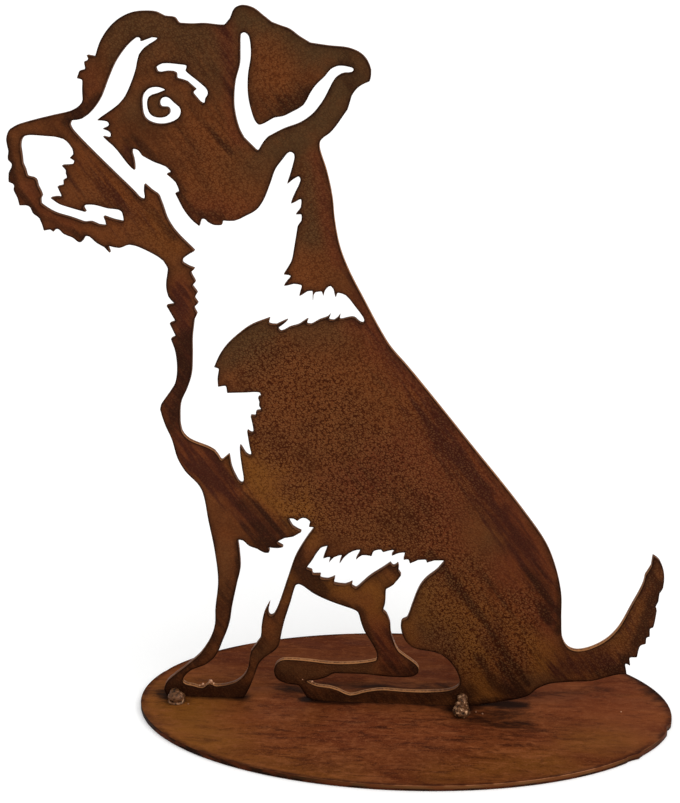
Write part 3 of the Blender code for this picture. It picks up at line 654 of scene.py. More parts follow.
class Finish:
    """A material that is mixed in layers, from patterns of a stated size."""

    def __init__(self, name):
        self.material = bpy.data.materials.new(name)
        self.material.use_nodes = True
        self.tree = self.material.node_tree
        self.shader = self.tree.nodes["Principled BSDF"]
        self.place = self.tree.nodes.new("ShaderNodeTexCoord").outputs["Object"]

    def add(self, kind, settings, **inputs):
        """Add a node, and feed its inputs with numbers or with other nodes' outputs."""
        node = self.tree.nodes.new("ShaderNode" + kind)
        for key, value in settings.items():
            setattr(node, key, value)
        for key, value in inputs.items():
            self.feed(node.inputs[key.replace("_", " ")], value)
        return node

    def feed(self, socket, value):
        """Join an output to a socket, or set the socket's own value."""
        if isinstance(value, bpy.types.NodeSocket):
            self.tree.links.new(value, socket)
        else:
            socket.default_value = value

    def stored(self, name):
        """A number that the mesh's points carry."""
        return self.add("Attribute", {"attribute_name": name}).outputs["Fac"]

    def stretched(self, sizes, turn):
        """The place on the piece, turned, and measured in patches of a size in millimetres."""
        return self.add("Mapping", {"vector_type": "TEXTURE"}, Vector=self.place, Rotation=turn,
                        Scale=metres(sizes)).outputs["Vector"]

    def noise(self, size, detail=3.0, roughness=0.5, turn=(0.0, 0.0, 0.0), bend=0.0):
        """A pattern of blots, whose size in millimetres may differ along each way."""
        sizes = size if isinstance(size, tuple) else (size,) * 3
        made = self.add("TexNoise", {}, Vector=self.stretched(sizes, turn), Scale=1.0,
                        Detail=detail, Roughness=roughness, Distortion=bend)
        return made.outputs["Fac"]

    def between(self, value, low, high, at_low=0.0, at_high=1.0):
        """The value eased from one number to another as it passes between two limits."""
        made = self.add("MapRange", {"interpolation_type": "SMOOTHSTEP"}, Value=value, From_Min=low,
                        From_Max=high, To_Min=at_low, To_Max=at_high)
        return made.outputs["Result"]

    def cells(self, sizes, turn, breaks):
        """Rounded bumps of a size in millimetres, with broken lines of 0 between them."""
        web = self.add("TexVoronoi", {"feature": "DISTANCE_TO_EDGE"},
                       Vector=self.stretched(sizes, turn), Scale=1.0)
        bumps = self.between(web.outputs["Distance"], 0.0, 0.34)
        return self.plus(bumps, self.between(breaks, 0.40, 0.62, -0.12, 0.42))

    def maths(self, operation, *values):
        """The result of an operation on one value or two."""
        made = self.add("Math", {"operation": operation})
        for socket, value in zip(made.inputs, values):
            self.feed(socket, value)
        return made.outputs["Value"]

    def times(self, first, second):
        """The product of two values."""
        return self.maths("MULTIPLY", first, second)

    def plus(self, first, second):
        """The sum of two values."""
        return self.maths("ADD", first, second)

    def lay(self, tone, cover, share, *others):
        """The tone with a colour laid over it, by the product of the shares."""
        for other in others:
            share = self.times(share, other)
        made = self.add("Mix", {"data_type": "RGBA"})
        for socket, value in ((made.inputs["Factor"], share), (made.inputs[6], tone),
                              (made.inputs[7], cover)):
            self.feed(socket, value)
        return made.outputs[2]

    def bump(self, height, depth, under=None):
        """Relief finer than the mesh, of a stated depth in millimetres."""
        made = self.add("Bump", {}, Height=height, Distance=depth * MM, Strength=1.0)
        if under is not None:
            self.feed(made.inputs["Normal"], under)
        return made.outputs["Normal"]

    def done(self, base, roughness, normal, **fixed):
        """Feed the shader, and set what is the same all over."""
        self.feed(self.shader.inputs["Base Color"], base)
        self.feed(self.shader.inputs["Roughness"], roughness)
        self.feed(self.shader.inputs["Normal"], normal)
        for key, value in fixed.items():
            self.shader.inputs[key.replace("_", " ")].default_value = value


print("finish helper ready")

# %% [markdown]
# ## The sheet's rust
#
# The colour is laid on as the maker did it: a brown ground with large blots, the brushed shifts,
# the diagonal streaks where wax was wiped down the sheet, then the dimples, whose hollows hold
# dark rust while their crests are rubbed to a warm brown. A dark band and a darker line along
# every cut edge are painted shade, as if the rounded rim turned from the light. The cut walls are
# paler, partly bared steel and partly a painted highlight, palest at the arrises and where they
# face the light, with fine drag lines across the thickness.

# %% Choose the sheet's colours
SHEET_BROWN = colour(101, 56, 28)
SHEET_DEEP = colour(84, 45, 22)
OLIVE_BROWN = colour(72, 51, 30)
WARM_BROWN = colour(110, 58, 26)
GOLD_BROWN = colour(126, 76, 28)
RED_BROWN = colour(98, 46, 26)
PLUM_BROWN = colour(58, 26, 19)
DARK_BROWN = colour(42, 22, 13)
PEEL_DARK = colour(56, 22, 7)
PEEL_LIGHT = colour(122, 80, 45)
WALL_BARE_AND_LIT_TAN = colour(176, 120, 74)
WALL_MIDDLE = colour(92, 54, 32)
ARRIS_SHADE_BROWN = colour(30, 15, 9)
print("the sheet's brown as the shader reads it:", [round(part, 3) for part in SHEET_BROWN])

# %% Lay the ground, the shifts and the streaks
WIPED_DOWN = (0.0, math.radians(54), 0.0)

rust = Finish("sheet_rust")
tone = rust.lay(SHEET_DEEP, SHEET_BROWN, rust.between(rust.noise(15.0, 5.0, 0.6), 0.38, 0.62))
for shift, share, cover in (("olive", 0.92, OLIVE_BROWN), ("warm", 0.75, WARM_BROWN),
                            ("gold", 0.75, GOLD_BROWN), ("red", 0.80, RED_BROWN)):
    tone = rust.lay(tone, cover, rust.stored(shift), share)
wiped = rust.noise((30.0, 4.0, 3.0), 4.0, 0.62, WIPED_DOWN)
for low, high, share, cover in ((0.49, 0.64, 0.50, DARK_BROWN), (0.47, 0.36, 0.45, WARM_BROWN)):
    tone = rust.lay(tone, cover, rust.between(wiped, low, high), rust.stored("streaked"), share)
# The dark strokes lay grime and painted shade alike.
for stroke, streak, share, cover in (("plum", 0.34, 0.88, PLUM_BROWN),
                                     ("dark", 0.16, 0.85, DARK_BROWN)):
    ragged = rust.between(wiped, 0.36, 0.64, -streak, streak)
    patch = rust.between(rust.plus(rust.stored(stroke), ragged), 0.12, 0.98, 0.0, share)
    tone = rust.lay(tone, cover, patch, rust.between(rust.stored(stroke), 0.02, 0.25))
print("layers so far:", sum(node.type == "MIX" for node in rust.tree.nodes))

# %% Lay the dimples, the grain and the painted shade along the edges
PEEL_CELLS = (1.55, 1.15, 1.05)
PEEL_TURN = (0.0, math.radians(28), 0.0)
PEEL_SHARE, PEEL_ANYWHERE = 0.74, 0.20

peel = rust.cells(PEEL_CELLS, PEEL_TURN, rust.noise(1.6, 2.0, 0.5))
peel_share = rust.plus(rust.times(rust.stored("peel"), PEEL_SHARE), PEEL_ANYWHERE)
tone = rust.lay(tone, PEEL_DARK, rust.between(peel, 0.40, 0.08), peel_share)
tone = rust.lay(tone, PEEL_LIGHT, rust.between(peel, 0.50, 0.95), peel_share, 0.48)
grain = rust.noise(0.55, 3.0, 0.7)
tone = rust.lay(tone, WARM_BROWN, rust.between(grain, 0.52, 0.75, 0.0, 0.28))
tone = rust.lay(tone, DARK_BROWN, rust.between(grain, 0.48, 0.28, 0.0, 0.35))
# Painted shade along the cut edges: a dark band within a few millimetres of the rim and a darker
# line just inside it, in uneven blots.
rim_shade_blots = rust.between(rust.noise(5.0, 3.0), 0.30, 0.55, 0.35, 0.80)
edge = rust.stored("edge")
tone = rust.lay(tone, DARK_BROWN, rust.between(edge, 0.40, 1.0), rim_shade_blots, 0.60)
tone = rust.lay(tone, ARRIS_SHADE_BROWN, rust.between(edge, 0.81, 0.94), rim_shade_blots)
print("layers so far:", sum(node.type == "MIX" for node in rust.tree.nodes))

# %% Paint the walls' bare steel and highlights, and finish the sheet
DRAG_LINES = (1.2, 7.0, 1.2)

# Painted highlight: the walls turn tan toward both arrises and where the strokes lie, over the
# bared steel.
across = rust.add("SeparateXYZ", {}, Vector=rust.place).outputs["Y"]
drag = rust.between(rust.noise(DRAG_LINES, 2.0, 0.6), 0.3, 0.7, -0.20, 0.20)
toward_rim = rust.plus(rust.times(rust.maths("ABSOLUTE", across), 1.0 / (HALF * MM)), drag)
bare_and_lit = rust.stored("bare_and_lit")
toward_rim = rust.plus(toward_rim, rust.times(bare_and_lit, 0.42))
wall_tone = rust.lay(WALL_MIDDLE, WALL_BARE_AND_LIT_TAN, rust.between(toward_rim, 0.28, 0.70),
                     rust.plus(rust.times(bare_and_lit, 0.80), 0.20))
tone = rust.lay(tone, wall_tone, rust.between(rust.stored("wall"), 0.3, 0.8))
normal = rust.bump(peel, 0.10)
normal = rust.bump(grain, 0.035, normal)
shine = rust.between(rust.noise(9.0, 3.0), 0.3, 0.7, 0.44, 0.62)
rust.done(tone, shine, normal, Metallic=0.45, Specular_IOR_Level=0.03)
sheet_mesh.materials.append(rust.material)
print("sheet_rust has", len(rust.tree.nodes), "nodes")

# %% [markdown]
# ## The base plate
#
# The base is an oval cut from the same plate by hand, so its rim has a small step where the torch
# started and a nick further round. It could be a scaled cylinder alone, but then its top would be
# one flat polygon. Here the top is extruded inwards ring by ring, so it can carry a slight bow,
# and the two rims are bevelled as a grinder leaves them.

# %% Cut the oval plate
RIM_POINTS = 240
TOP_RINGS = 30
RIM_BEVEL = 0.0005
LEVEL = 0.9


def settled():
    """The new primitive, with its place, turn and size moved into its mesh."""
    bpy.ops.object.transform_apply(location=True, rotation=True, scale=True)
    return bpy.context.object


def select_faces(piece, wanted):
    """Select the faces of the piece in edit mode that the test picks out."""
    shape = bmesh.from_edit_mesh(piece.data)
    for face in shape.faces:
        face.select_set(bool(wanted(face)))
    bmesh.update_edit_mesh(piece.data)


everything_deselected()
plate_size = plate_high - plate_low
bpy.ops.mesh.primitive_cylinder_add(vertices=RIM_POINTS, radius=0.5, depth=1.0,
                                    location=(plate_low + plate_high) / 2, scale=plate_size)
plate = settled()
plate.name = plate.data.name = "oval_plate"
bpy.ops.object.mode_set(mode="EDIT")
bpy.ops.mesh.select_mode(type="FACE")
select_faces(plate, lambda face: abs(face.normal.z) > LEVEL)
bpy.ops.mesh.region_to_loop()
bpy.ops.mesh.bevel(offset=RIM_BEVEL, segments=3, affect="EDGES")
bpy.ops.mesh.select_mode(type="FACE")
select_faces(plate, lambda face: face.normal.z > LEVEL and len(face.verts) > 4)
for ring in range(1, TOP_RINGS):
    smaller = (1 - ring / TOP_RINGS) / (1 - (ring - 1) / TOP_RINGS)
    bpy.ops.mesh.extrude_region_move()
    bpy.ops.transform.resize(value=(smaller, smaller, 1.0))
bpy.ops.mesh.extrude_region_move()
bpy.ops.mesh.merge(type="CENTER")
bpy.ops.object.mode_set(mode="OBJECT")
print("the plate has", len(plate.data.vertices), "points and", open_edges(plate.data),
      "open edges")

# %% [markdown]
# The plate's bow, the torch's step and the nicks are moves of single points, a few tenths of a
# millimetre at the top and up to a millimetre and a half at the rim. The bow mostly sinks, and the
# foot line stays flat, because the sheet stands there.

# %% Bow the plate and nick its rim
BOW_SIZE, BOW_DEPTH, BOW_SEED = 60.0, 0.22, 3.3
ROLL_SIZE, ROLL_DEPTH, ROLL_SEED = (34.0, 5.0), 0.06, 8.1
TOP_LAYER = 0.01
FLAT_BAND = 12.0
SHARP_ON_PLATE = math.radians(35)
RIM_NICKS = ((132.2, -16.0, 3.4, 1.5), (113.4, -41.0, 3.4, -0.9), (110.6, -44.6, 3.2, 0.9),
             (-128.0, 26.0, 3.0, 0.6), (40.0, 72.5, 3.6, 0.7))

plate_flat = in_millimetres(plate.data)[:, :2]
oval = np.hypot(*(plate_flat / np.array([plate_size.x, plate_size.y]) * MM * 2).T)
for point in plate.data.vertices:
    x, y, z = point.co / MM
    to_line = min(1.0, abs(y) / FLAT_BAND)
    if z > plate_high.z / MM - TOP_LAYER:
        bow = noise.noise(Vector((x / BOW_SIZE, y / BOW_SIZE, BOW_SEED)))
        roll = noise.noise(Vector((x / ROLL_SIZE[0], y / ROLL_SIZE[1], ROLL_SEED)))
        point.co.z += MM * (BOW_DEPTH * (bow - 0.5) + ROLL_DEPTH * roll) * to_line * to_line
    for nick_x, nick_y, width, depth in RIM_NICKS:
        gap = math.hypot(x - nick_x, y - nick_y)
        if gap < width:
            inward = Vector((-x, -y, 0.0)).normalized()
            point.co += inward * depth * MM * (1 - gap / width)
plate.data.update()
bpy.ops.object.shade_smooth_by_angle(angle=SHARP_ON_PLATE)
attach(plate, "root")
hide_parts("base_plate")
print("plate box:", [round(side / MM, 1) for side in plate.dimensions])

# %% [markdown]
# ## The plate's rust
#
# The plate is redder than the dog, and golden at the front on the left. The mill's rolling and the
# wiping of the wax run along its length, so its streaks do too. Round each weld the heat has left
# a dark halo, and painted shade lies along the line where the sheet stands, behind the feet and
# under the haunch. The rim's side is a node mix of its own: painted shade at the left and along its
# foot, painted light to the right, and a painted highlight along the arris.

# %% Brush the colour shifts onto the plate
# Heat halos and painted shade: besides the halos round the welds, these strokes darken the line
# where the sheet stands, the plate behind the feet and the tail, and the plate under the haunch.
HALOS_AND_SHADE = [
    (1.0, 15, [(-119, -2)]), (1.0, 17, [(30, -3)]), (0.6, 24, [(34, -14), (56, -16)]),
    (0.9, 6, [(-124, 0), (-80, 0)]), (1.0, 7, [(-50, 0), (62, 1)]),
    (0.62, 13, [(-60, 10), (-10, 16), (20, 14)]), (0.5, 10, [(62, 8), (100, 20)]),
    (0.74, 13, [(100, 55), (120, 38), (131, 22), (136, 4)])]
FRONT_GOLD = [
    (1.0, 50, [(-112, -10), (-92, -34)]), (0.5, 30, [(-70, -58), (-34, -68)]),
    (0.4, 16, [(-60, -20), (-48, -17)]), (0.6, 20, [(82, -32), (104, -28)]),
    (0.7, 24, [(20, -60), (70, -50)])]
PINK_RED = [
    (0.9, 42, [(-30, -26), (30, -30)]), (1.0, 44, [(70, 20), (110, 4)]),
    (1.0, 30, [(-78, -20), (-54, -18)]), (0.9, 24, [(-64, -36), (-58, -38)]),
    (1.0, 26, [(50, -32), (64, -27)])]
ROUGH = [(1.0, 62, [(-46, -34), (46, -38)])]
BACK_DEEP = [
    (0.9, 50, [(-80, 40), (-20, 58), (50, 56)]), (1.0, 18, [(4, -54), (24, -51)]),
    (0.9, 13, [(-40, -56), (-34, -56)])]
PLATE_BLOT, PLATE_SEED, PLATE_STRETCH = 9.0, 71.0, 2.5
PLATE_RAGGED = 0.22
BORDER_BEGINS, BORDER_WIDTH = 0.945, 0.045
SIDE_BEGINS, SIDE_WIDTH = 0.9965, 0.003

plate_blots = wobble(np.column_stack([plate_flat / [PLATE_STRETCH, 1.0],
                                      np.zeros(len(plate_flat))]), PLATE_BLOT, 3, PLATE_SEED)
for name, strokes in (("halo_and_shade", HALOS_AND_SHADE), ("front_gold", FRONT_GOLD), ("pink_red", PINK_RED),
                      ("back_deep", BACK_DEEP), ("rough", ROUGH)):
    write_attribute(plate.data, name, brushed(plate_flat, strokes, PLATE_RAGGED * plate_blots))
for name, begins, width in (("border", BORDER_BEGINS, BORDER_WIDTH),
                            ("side", SIDE_BEGINS, SIDE_WIDTH)):
    write_attribute(plate.data, name, np.clip((oval - begins) / width, 0.0, 1.0))
print("strokes on the plate:", sum(map(len, (HALOS_AND_SHADE, FRONT_GOLD, PINK_RED, ROUGH, BACK_DEEP))))

# %% Mix the plate's ground and streaks
PLATE_BROWN = colour(122, 66, 33)
PLATE_DEEP = colour(95, 44, 21)
PLATE_GOLD = colour(130, 80, 30)
PLATE_RED = colour(122, 61, 32)
STREAK_DARK = colour(60, 26, 15)
STREAK_LIGHT = colour(156, 92, 54)

steel = Finish("plate_rust")
clouds = steel.between(steel.noise((40.0, 14.0, 14.0), 5.0, 0.6), 0.40, 0.60)
tone = steel.lay(PLATE_DEEP, PLATE_BROWN, clouds)
for shift, share, cover in (("front_gold", 0.80, PLATE_GOLD), ("pink_red", 0.65, PLATE_RED),
                            ("back_deep", 0.55, PLATE_DEEP)):
    tone = steel.lay(tone, cover, steel.stored(shift), share)
rolled = steel.noise((17.0, 6.0, 5.0), 6.0, 0.70, bend=0.4)
thin = steel.noise((18.0, 2.4, 2.4), 3.0, 0.60, bend=0.6)
mottle = steel.noise((3.6, 2.4, 2.4), 4.0, 0.65)
specks = steel.noise(0.95, 3.0, 0.65)
streaky = steel.plus(steel.times(steel.stored("rough"), 0.60), 0.50)
for pattern, dark, light in ((rolled, (0.52, 0.66, 0.62), (0.47, 0.34, 0.42)),
                             (thin, (0.56, 0.63, 0.48), (0.42, 0.34, 0.24)),
                             (mottle, (0.54, 0.68, 0.42), (0.47, 0.34, 0.40)),
                             (specks, (0.54, 0.70, 0.42), (0.46, 0.31, 0.42))):
    for (near, far, share), cover in ((dark, STREAK_DARK), (light, STREAK_LIGHT)):
        tone = steel.lay(tone, cover, steel.between(pattern, near, far, 0.0, share), streaky)
print("layers so far:", sum(node.type == "MIX" for node in steel.tree.nodes))

# %% Darken the border, the welds' halos and the painted shade, and paint the rim's light and shade
HALO_AND_SHADE_BLACK = colour(26, 14, 10)
RIM_HIGHLIGHT_TAN = colour(164, 108, 76)
RIM_BROWN = colour(110, 70, 40)
RIM_DARK = colour(52, 24, 16)
RIM_SHADOW = colour(24, 13, 9)
LIT_FROM, LIT_FULL, LIT_FADES, LIT_ENDS = (x * MM for x in (-75.0, 40.0, 92.0, 118.0))

uneven = steel.noise((9.0, 9.0, 3.0), 3.0, 0.6)
tone = steel.lay(tone, RIM_DARK, steel.between(steel.stored("border"), 0.45, 1.0),
                 steel.between(uneven, 0.35, 0.60, 0.25, 0.85))
# Heat halos and painted contact shade, laid in near black.
ragged = steel.between(rolled, 0.35, 0.65, -0.2, 0.2)
halo_and_shade = steel.between(steel.plus(steel.stored("halo_and_shade"), ragged), 0.05, 0.95)
tone = steel.lay(tone, HALO_AND_SHADE_BLACK, halo_and_shade, 0.92)
ways = steel.add("SeparateXYZ", {}, Vector=steel.place).outputs
lit = steel.times(steel.between(ways["X"], LIT_FROM, LIT_FULL, 0.06, 1.0),
                  steel.between(ways["X"], LIT_FADES, LIT_ENDS, 1.0, 0.35))
side = steel.stored("side")
# Painted light and shade: the rim's side is near black at its foot and on the left, and light brown
# where the light falls on the right.
side_tone = steel.lay(RIM_SHADOW, RIM_BROWN, steel.between(ways["Z"], 0.7 * MM, 2.0 * MM), lit)
side_tone = steel.lay(side_tone, PLATE_DEEP, steel.between(uneven, 0.40, 0.62, 0.0, 0.55))
tone = steel.lay(tone, side_tone, side)
# Painted highlight: a tan line along the top arris, strongest where the side is lit.
arris = steel.times(steel.between(side, 0.05, 0.45), steel.between(side, 0.95, 0.55))
tone = steel.lay(tone, RIM_HIGHLIGHT_TAN, arris, lit, steel.between(uneven, 0.38, 0.58, 0.9, 0.2))
normal = steel.bump(rolled, 0.06)
normal = steel.bump(specks, 0.05, normal)
shine = steel.between(steel.noise((30.0, 8.0, 8.0), 3.0), 0.3, 0.7, 0.42, 0.62)
steel.done(tone, shine, normal, Metallic=0.35, Specular_IOR_Level=0.0)
plate.data.materials.append(steel.material)
print("plate_rust has", len(steel.tree.nodes), "nodes")

# %% [markdown]
# ## The spots of weld
#
# Each weld is a puddle of metal that froze in ripples: the toe's is one round button with a raised
# ring, and the hind foot's is two runs, one on top of the other. Balls and rings are put where the
# metal flowed, then fused into one skin by a remesh, which is how such metal really joins, and a
# fine displacement gives the frozen skin. A cut along the sheet's face and along the plate's top
# seats it.

# %% Lay the weld metal
WELD_GRAIN = 0.00022
SEAT = 0.00006
RIPPLE_TILT = math.radians(58)
TOE_RIPPLE = 3.6
HIND_RIPPLE = 2.9
CUT_TOLERANCE = 1e-7
SHARP_ON_WELD = math.radians(60)


def weld_ball(size, place):
    """One flattened ball of weld metal, of a size and at a place in millimetres."""
    bpy.ops.mesh.primitive_uv_sphere_add(segments=32, ring_count=20, radius=0.5,
                                         location=metres(place), scale=metres(size))
    return settled()


def weld_ring(radius, thickness, place, tilt):
    """One frozen ripple round a ball, facing forward and up."""
    bpy.ops.mesh.primitive_torus_add(major_radius=radius * MM, minor_radius=thickness * MM,
                                     major_segments=40, minor_segments=12,
                                     location=metres(place), rotation=(tilt, 0.0, 0.0))
    return settled()


def skin_texture(name, size):
    """A smooth pattern for pushing a mesh's points in and out."""
    pattern = bpy.data.textures.new(name, "CLOUDS")
    pattern.noise_scale = size * MM
    pattern.noise_depth = 1
    return pattern


def fused(name, parts, lumps):
    """The parts as one skin, with frozen lumps of the given (size, depth), seated in the corner."""
    everything_deselected()
    for part in parts:
        part.select_set(True)
    bpy.context.view_layer.objects.active = parts[0]
    bpy.ops.object.join()
    weld = bpy.context.object
    weld.name = weld.data.name = name
    remesh = weld.modifiers.new("fuse", "REMESH")
    remesh.mode = "VOXEL"
    remesh.voxel_size = WELD_GRAIN
    bpy.ops.object.modifier_apply(modifier=remesh.name)
    smooth = weld.modifiers.new("surface_tension", "SMOOTH")
    smooth.iterations = 6
    bpy.ops.object.modifier_apply(modifier=smooth.name)
    for size, depth in lumps:
        push = weld.modifiers.new("frozen_skin", "DISPLACE")
        push.texture = skin_texture(name + "_skin", size)
        push.texture_coords = "LOCAL"
        push.strength = depth * MM
        bpy.ops.object.modifier_apply(modifier=push.name)
    bpy.ops.object.mode_set(mode="EDIT")
    for place, way in (((0.0, sheet_low.y + SEAT, 0.0), (0.0, -1.0, 0.0)),
                       ((0.0, 0.0, plate_high.z - SEAT), (0.0, 0.0, 1.0))):
        bpy.ops.mesh.select_all(action="SELECT")
        bpy.ops.mesh.bisect(plane_co=place, plane_no=way, use_fill=True, clear_inner=True,
                            threshold=CUT_TOLERANCE)
    bpy.ops.object.mode_set(mode="OBJECT")
    bpy.ops.object.shade_smooth_by_angle(angle=SHARP_ON_WELD)
    return weld


print("the remesh's grain in mm:", WELD_GRAIN / MM)

# %% Build the two welds
plate_top = plate_high.z / MM
toe_low, toe_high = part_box("weld_toe")
toe_x, toe_y, toe_z = (toe_low + toe_high) / 2 / MM
toe_ripple_place = (toe_x + 0.7, toe_y - 1.9, toe_z - 0.9)
toe_weld = fused("toe_weld", [
    weld_ball((9.0, 7.8, 6.4), (toe_x + 0.5, toe_y - 0.3, toe_z - 1.1)),
    weld_ball((5.4, 5.0, 4.2), (toe_x - 0.6, toe_y + 1.8, toe_z + 0.5)),
    weld_ring(TOE_RIPPLE, 0.40, toe_ripple_place, RIPPLE_TILT),
    weld_ball((2.0, 1.4, 1.6), (toe_x - 0.3, toe_y - 2.6, toe_z + 1.0)),
    weld_ball((9.2, 8.0, 2.2), (toe_x + 0.5, toe_y - 0.7, plate_top + 0.2))],
    [(2.6, 0.4), (0.9, 0.18)])
hind_low, hind_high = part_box("weld_hind")
hind_x = (hind_low.x + hind_high.x) / 2 / MM
hind_front = hind_low.y / MM
hind_ripple_place = (hind_x - 1.0, hind_front + 2.8, plate_top + 2.3)
hind_weld = fused("hind_weld", [
    weld_ball((5.6, 7.0, 7.8), (hind_x - 0.5, -HALF - 2.6, hind_high.z / MM - 4.2)),
    weld_ball((8.6, 9.4, 6.2), (hind_x - 1.0, hind_front + 4.4, plate_top + 1.8)),
    weld_ring(HIND_RIPPLE, 0.5, hind_ripple_place, RIPPLE_TILT),
    weld_ball((3.0, 2.6, 2.6), (hind_x - 2.8, -HALF - 5.6, plate_top + 4.0)),
    weld_ball((2.4, 2.2, 2.2), (hind_x + 1.2, -HALF - 6.4, plate_top + 3.8)),
    weld_ball((3.4, 2.4, 1.6), (hind_x - 2.4, hind_front + 1.6, plate_top + 0.8)),
    weld_ball((2.6, 2.0, 3.2), (hind_x, -HALF - 3.6, plate_top + 7.2))],
    [(2.2, 0.8), (0.8, 0.35)])
for weld, node, slot in ((toe_weld, "weld_toe", "toe_weld_metal"),
                         (hind_weld, "weld_hind", "hind_weld_metal")):
    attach(weld, "root")
    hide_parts(node)
    print(weld.name, "has", len(weld.data.polygons), "faces and", open_edges(weld.data),
          "open edges")

# %% [markdown]
# Weld metal is darker and much glossier than rust. Heat tints it from brown to straw, and soot lies
# in the hollows. The straw along the lower crest of each ripple is a painted highlight. The toe's
# weld is sootier than the hind foot's, so each carries a number for how clean it is.

# %% Mix the weld's finish
WELD_STRAW_AND_HIGHLIGHT = colour(208, 162, 122)
WELD_BROWN = colour(100, 64, 38)
WELD_SOOT = colour(36, 24, 14)
RIPPLES = ((toe_weld, toe_ripple_place, TOE_RIPPLE, 0.22),
           (hind_weld, hind_ripple_place, HIND_RIPPLE, 1.0))
RIPPLE_WIDTH = 0.75
CREST_HIGHLIGHT_TOP = 0.75

facing = np.array([0.0, -math.sin(RIPPLE_TILT), math.cos(RIPPLE_TILT)])
for weld, centre, radius, clean in RIPPLES:
    places = in_millimetres(weld.data) + [0.0, 0.0, plate_top]
    arm = places - np.array(centre)
    rise = arm @ facing
    spread = np.sqrt(np.maximum((arm * arm).sum(1) - rise * rise, 0.0))
    # Painted highlight: a mask along each ripple's crest, faded out over its upper part.
    crest_highlight = 1.0 - np.hypot(spread - radius, rise) / RIPPLE_WIDTH
    crest_highlight *= np.clip(CREST_HIGHLIGHT_TOP - arm[:, 2] / radius, 0.0, 1.0)
    write_attribute(weld.data, "crest_highlight", np.clip(crest_highlight, 0.0, 1.0))
    write_attribute(weld.data, "clean", np.full(len(places), clean))

metal = Finish("weld_metal")
heat = metal.noise(1.9, 4.0, 0.6)
tone = metal.lay(WELD_SOOT, WELD_BROWN, metal.between(heat, 0.36, 0.50))
tone = metal.lay(tone, WELD_STRAW_AND_HIGHLIGHT, metal.between(heat, 0.54, 0.66, 0.0, 0.85),
                 metal.stored("clean"))
# Painted highlight: straw along the ripple's lower crest.
tone = metal.lay(tone, WELD_STRAW_AND_HIGHLIGHT, metal.between(metal.stored("crest_highlight"), 0.2, 0.8),
                 metal.between(heat, 0.36, 0.50, 0.2, 0.9))
metal.done(tone, metal.between(heat, 0.3, 0.7, 0.45, 0.24),
           metal.bump(metal.noise(0.5, 3.0, 0.6), 0.05), Metallic=0.35, Specular_IOR_Level=0.22)
for weld in (toe_weld, hind_weld):
    weld.data.materials.append(metal.material)
print("weld_metal has", len(metal.tree.nodes), "nodes")

# %% [markdown]
# ## Spatter
#
# Welding throws small drops of steel, which freeze where they land. A few sit on the paws' top
# edges and on the plate, and their pale tan is a painted glint. Each is a tiny ball, sunk to a
# third, given by its size and its place in millimetres.

# %% Throw the spatter
SPATTER = ((1.5, (-103.0, -1.2, 10.2)), (0.9, (-104.6, -1.3, 9.6)), (2.2, (-99.0, -0.8, 11.7)),
           (1.1, (-97.4, -1.3, 10.9)), (1.2, (-51.6, -1.0, 15.0)), (1.4, (-46.8, -0.9, 13.6)),
           (0.8, (36.6, -7.4, 3.1)), (1.0, (39.8, -9.2, 3.1)), (0.8, (-109.6, -9.0, 3.1)),
           (0.8, (109.7, -2.7, 3.1)))
SPATTER_GLINT_TAN = colour(196, 142, 104)
SPATTER_BROWN = colour(120, 76, 50)

everything_deselected()
drops = []
for size, place in SPATTER:
    bpy.ops.mesh.primitive_ico_sphere_add(subdivisions=3, radius=size * MM / 2,
                                          location=metres(place))
    drops.append(settled())
for drop in drops:
    drop.select_set(True)
bpy.ops.object.join()
spatter = bpy.context.object
spatter.name = spatter.data.name = "weld_spatter"
bpy.ops.object.shade_smooth()
bright = Finish("spatter_metal")
# Painted glint: the drops are pale tan in blots over a brown ground.
glint_blots = bright.noise(0.9, 3.0, 0.6)
bright.done(bright.lay(SPATTER_BROWN, SPATTER_GLINT_TAN, bright.between(glint_blots, 0.40, 0.55)),
            bright.between(glint_blots, 0.3, 0.7, 0.45, 0.28), bright.bump(glint_blots, 0.08),
            Metallic=0.25, Specular_IOR_Level=0.5)
spatter.data.materials.append(bright.material)
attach(spatter, "root")
print("drops of spatter:", len(drops))

# %% [markdown]
# ## Floor and light
#
# The photograph has a pale, almost shadowless ground and soft light from above and a little to the
# right, which picks out the cut walls that face up and right. Two sun lamps with very wide discs
# give that softness. The world is kept dim, since a bright one would put a grey veil of
# reflections over the brown. Where it is seen past the floor's edge it is white, like the floor.
# The floor glows faintly, so that the shade under the dog stays as pale as it is in the
# photograph.

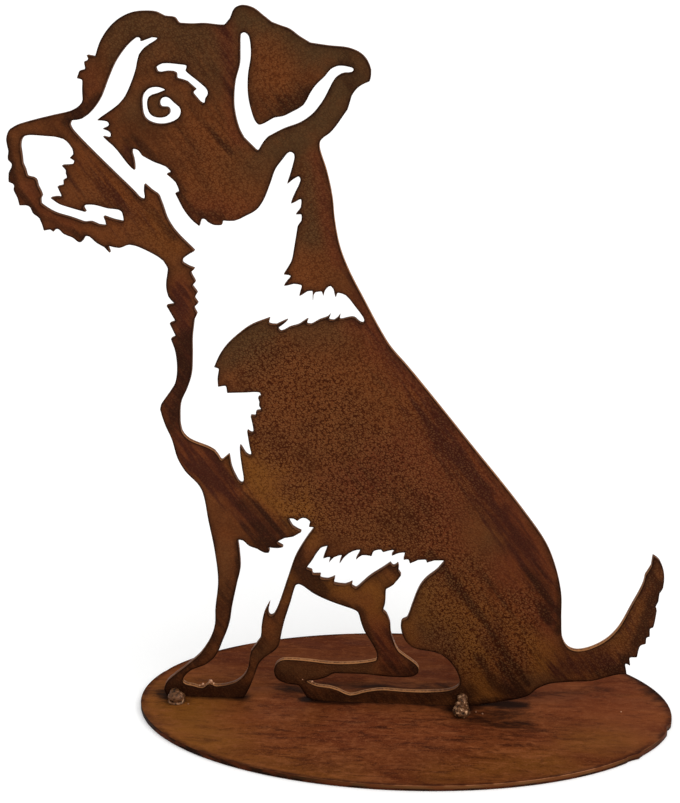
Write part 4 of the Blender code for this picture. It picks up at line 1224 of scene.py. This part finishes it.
# %% Set up the studio
FLOOR_SIZE = 400.0
FLOOR_WHITE = (0.99, 0.99, 0.985, 1.0)
FLOOR_GLOW = 0.10
WORLD_LIGHT = 0.52
WORLD_SEEN = 1.0
FLOOR_GAP = 0.0001
SOFT_LIGHTS = (("overhead", (0.30, -0.50, 1.0), 75.0, 1.55),
               ("right_key", (0.9, -0.25, 0.7), 30.0, 0.55))

everything_deselected()
bpy.ops.mesh.primitive_plane_add(size=FLOOR_SIZE, location=(0.0, 0.0, -FLOOR_GAP))
floor = bpy.context.object
floor.name = "floor"
floor_finish = bpy.data.materials.new("pale_floor")
floor_finish.use_nodes = True
floor_shader = floor_finish.node_tree.nodes["Principled BSDF"]
for name, value in (("Base Color", FLOOR_WHITE), ("Roughness", 0.9), ("Specular IOR Level", 0.1),
                    ("Emission Color", FLOOR_WHITE), ("Emission Strength", FLOOR_GLOW)):
    floor_shader.inputs[name].default_value = value
floor.data.materials.append(floor_finish)
floor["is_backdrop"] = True

for name, from_place, softness, strength in SOFT_LIGHTS:
    bpy.ops.object.light_add(type="SUN",
                             rotation=Vector(from_place).to_track_quat("Z", "Y").to_euler())
    lamp = bpy.context.object
    lamp.name = name
    lamp.data.angle = math.radians(softness)
    lamp.data.energy = strength

world = bpy.data.worlds.new("studio")
bpy.context.scene.world = world
world.use_nodes = True
sky = world.node_tree.nodes["Background"]
sky.inputs["Color"].default_value = (1.0, 1.0, 1.0, 1.0)
seen = world.node_tree.nodes.new("ShaderNodeLightPath").outputs["Is Camera Ray"]
brighter = world.node_tree.nodes.new("ShaderNodeMapRange")
brighter.inputs["To Min"].default_value = WORLD_LIGHT
brighter.inputs["To Max"].default_value = WORLD_SEEN
world.node_tree.links.new(seen, brighter.inputs["Value"])
world.node_tree.links.new(brighter.outputs["Result"], sky.inputs["Strength"])
bpy.context.scene.view_settings.view_transform = "Standard"
print("lights:", [light[0] for light in SOFT_LIGHTS])

# %% [markdown]
# ## Measure and finish
#
# The dressed model's box is measured over all that renders, leaving the floor out, and its size is
# printed. The dressed model has to stay in the box of the solids.

# %% Measure the dressed size
low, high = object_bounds()
print("dressed size in mm:", [round(side / MM, 1) for side in high - low])
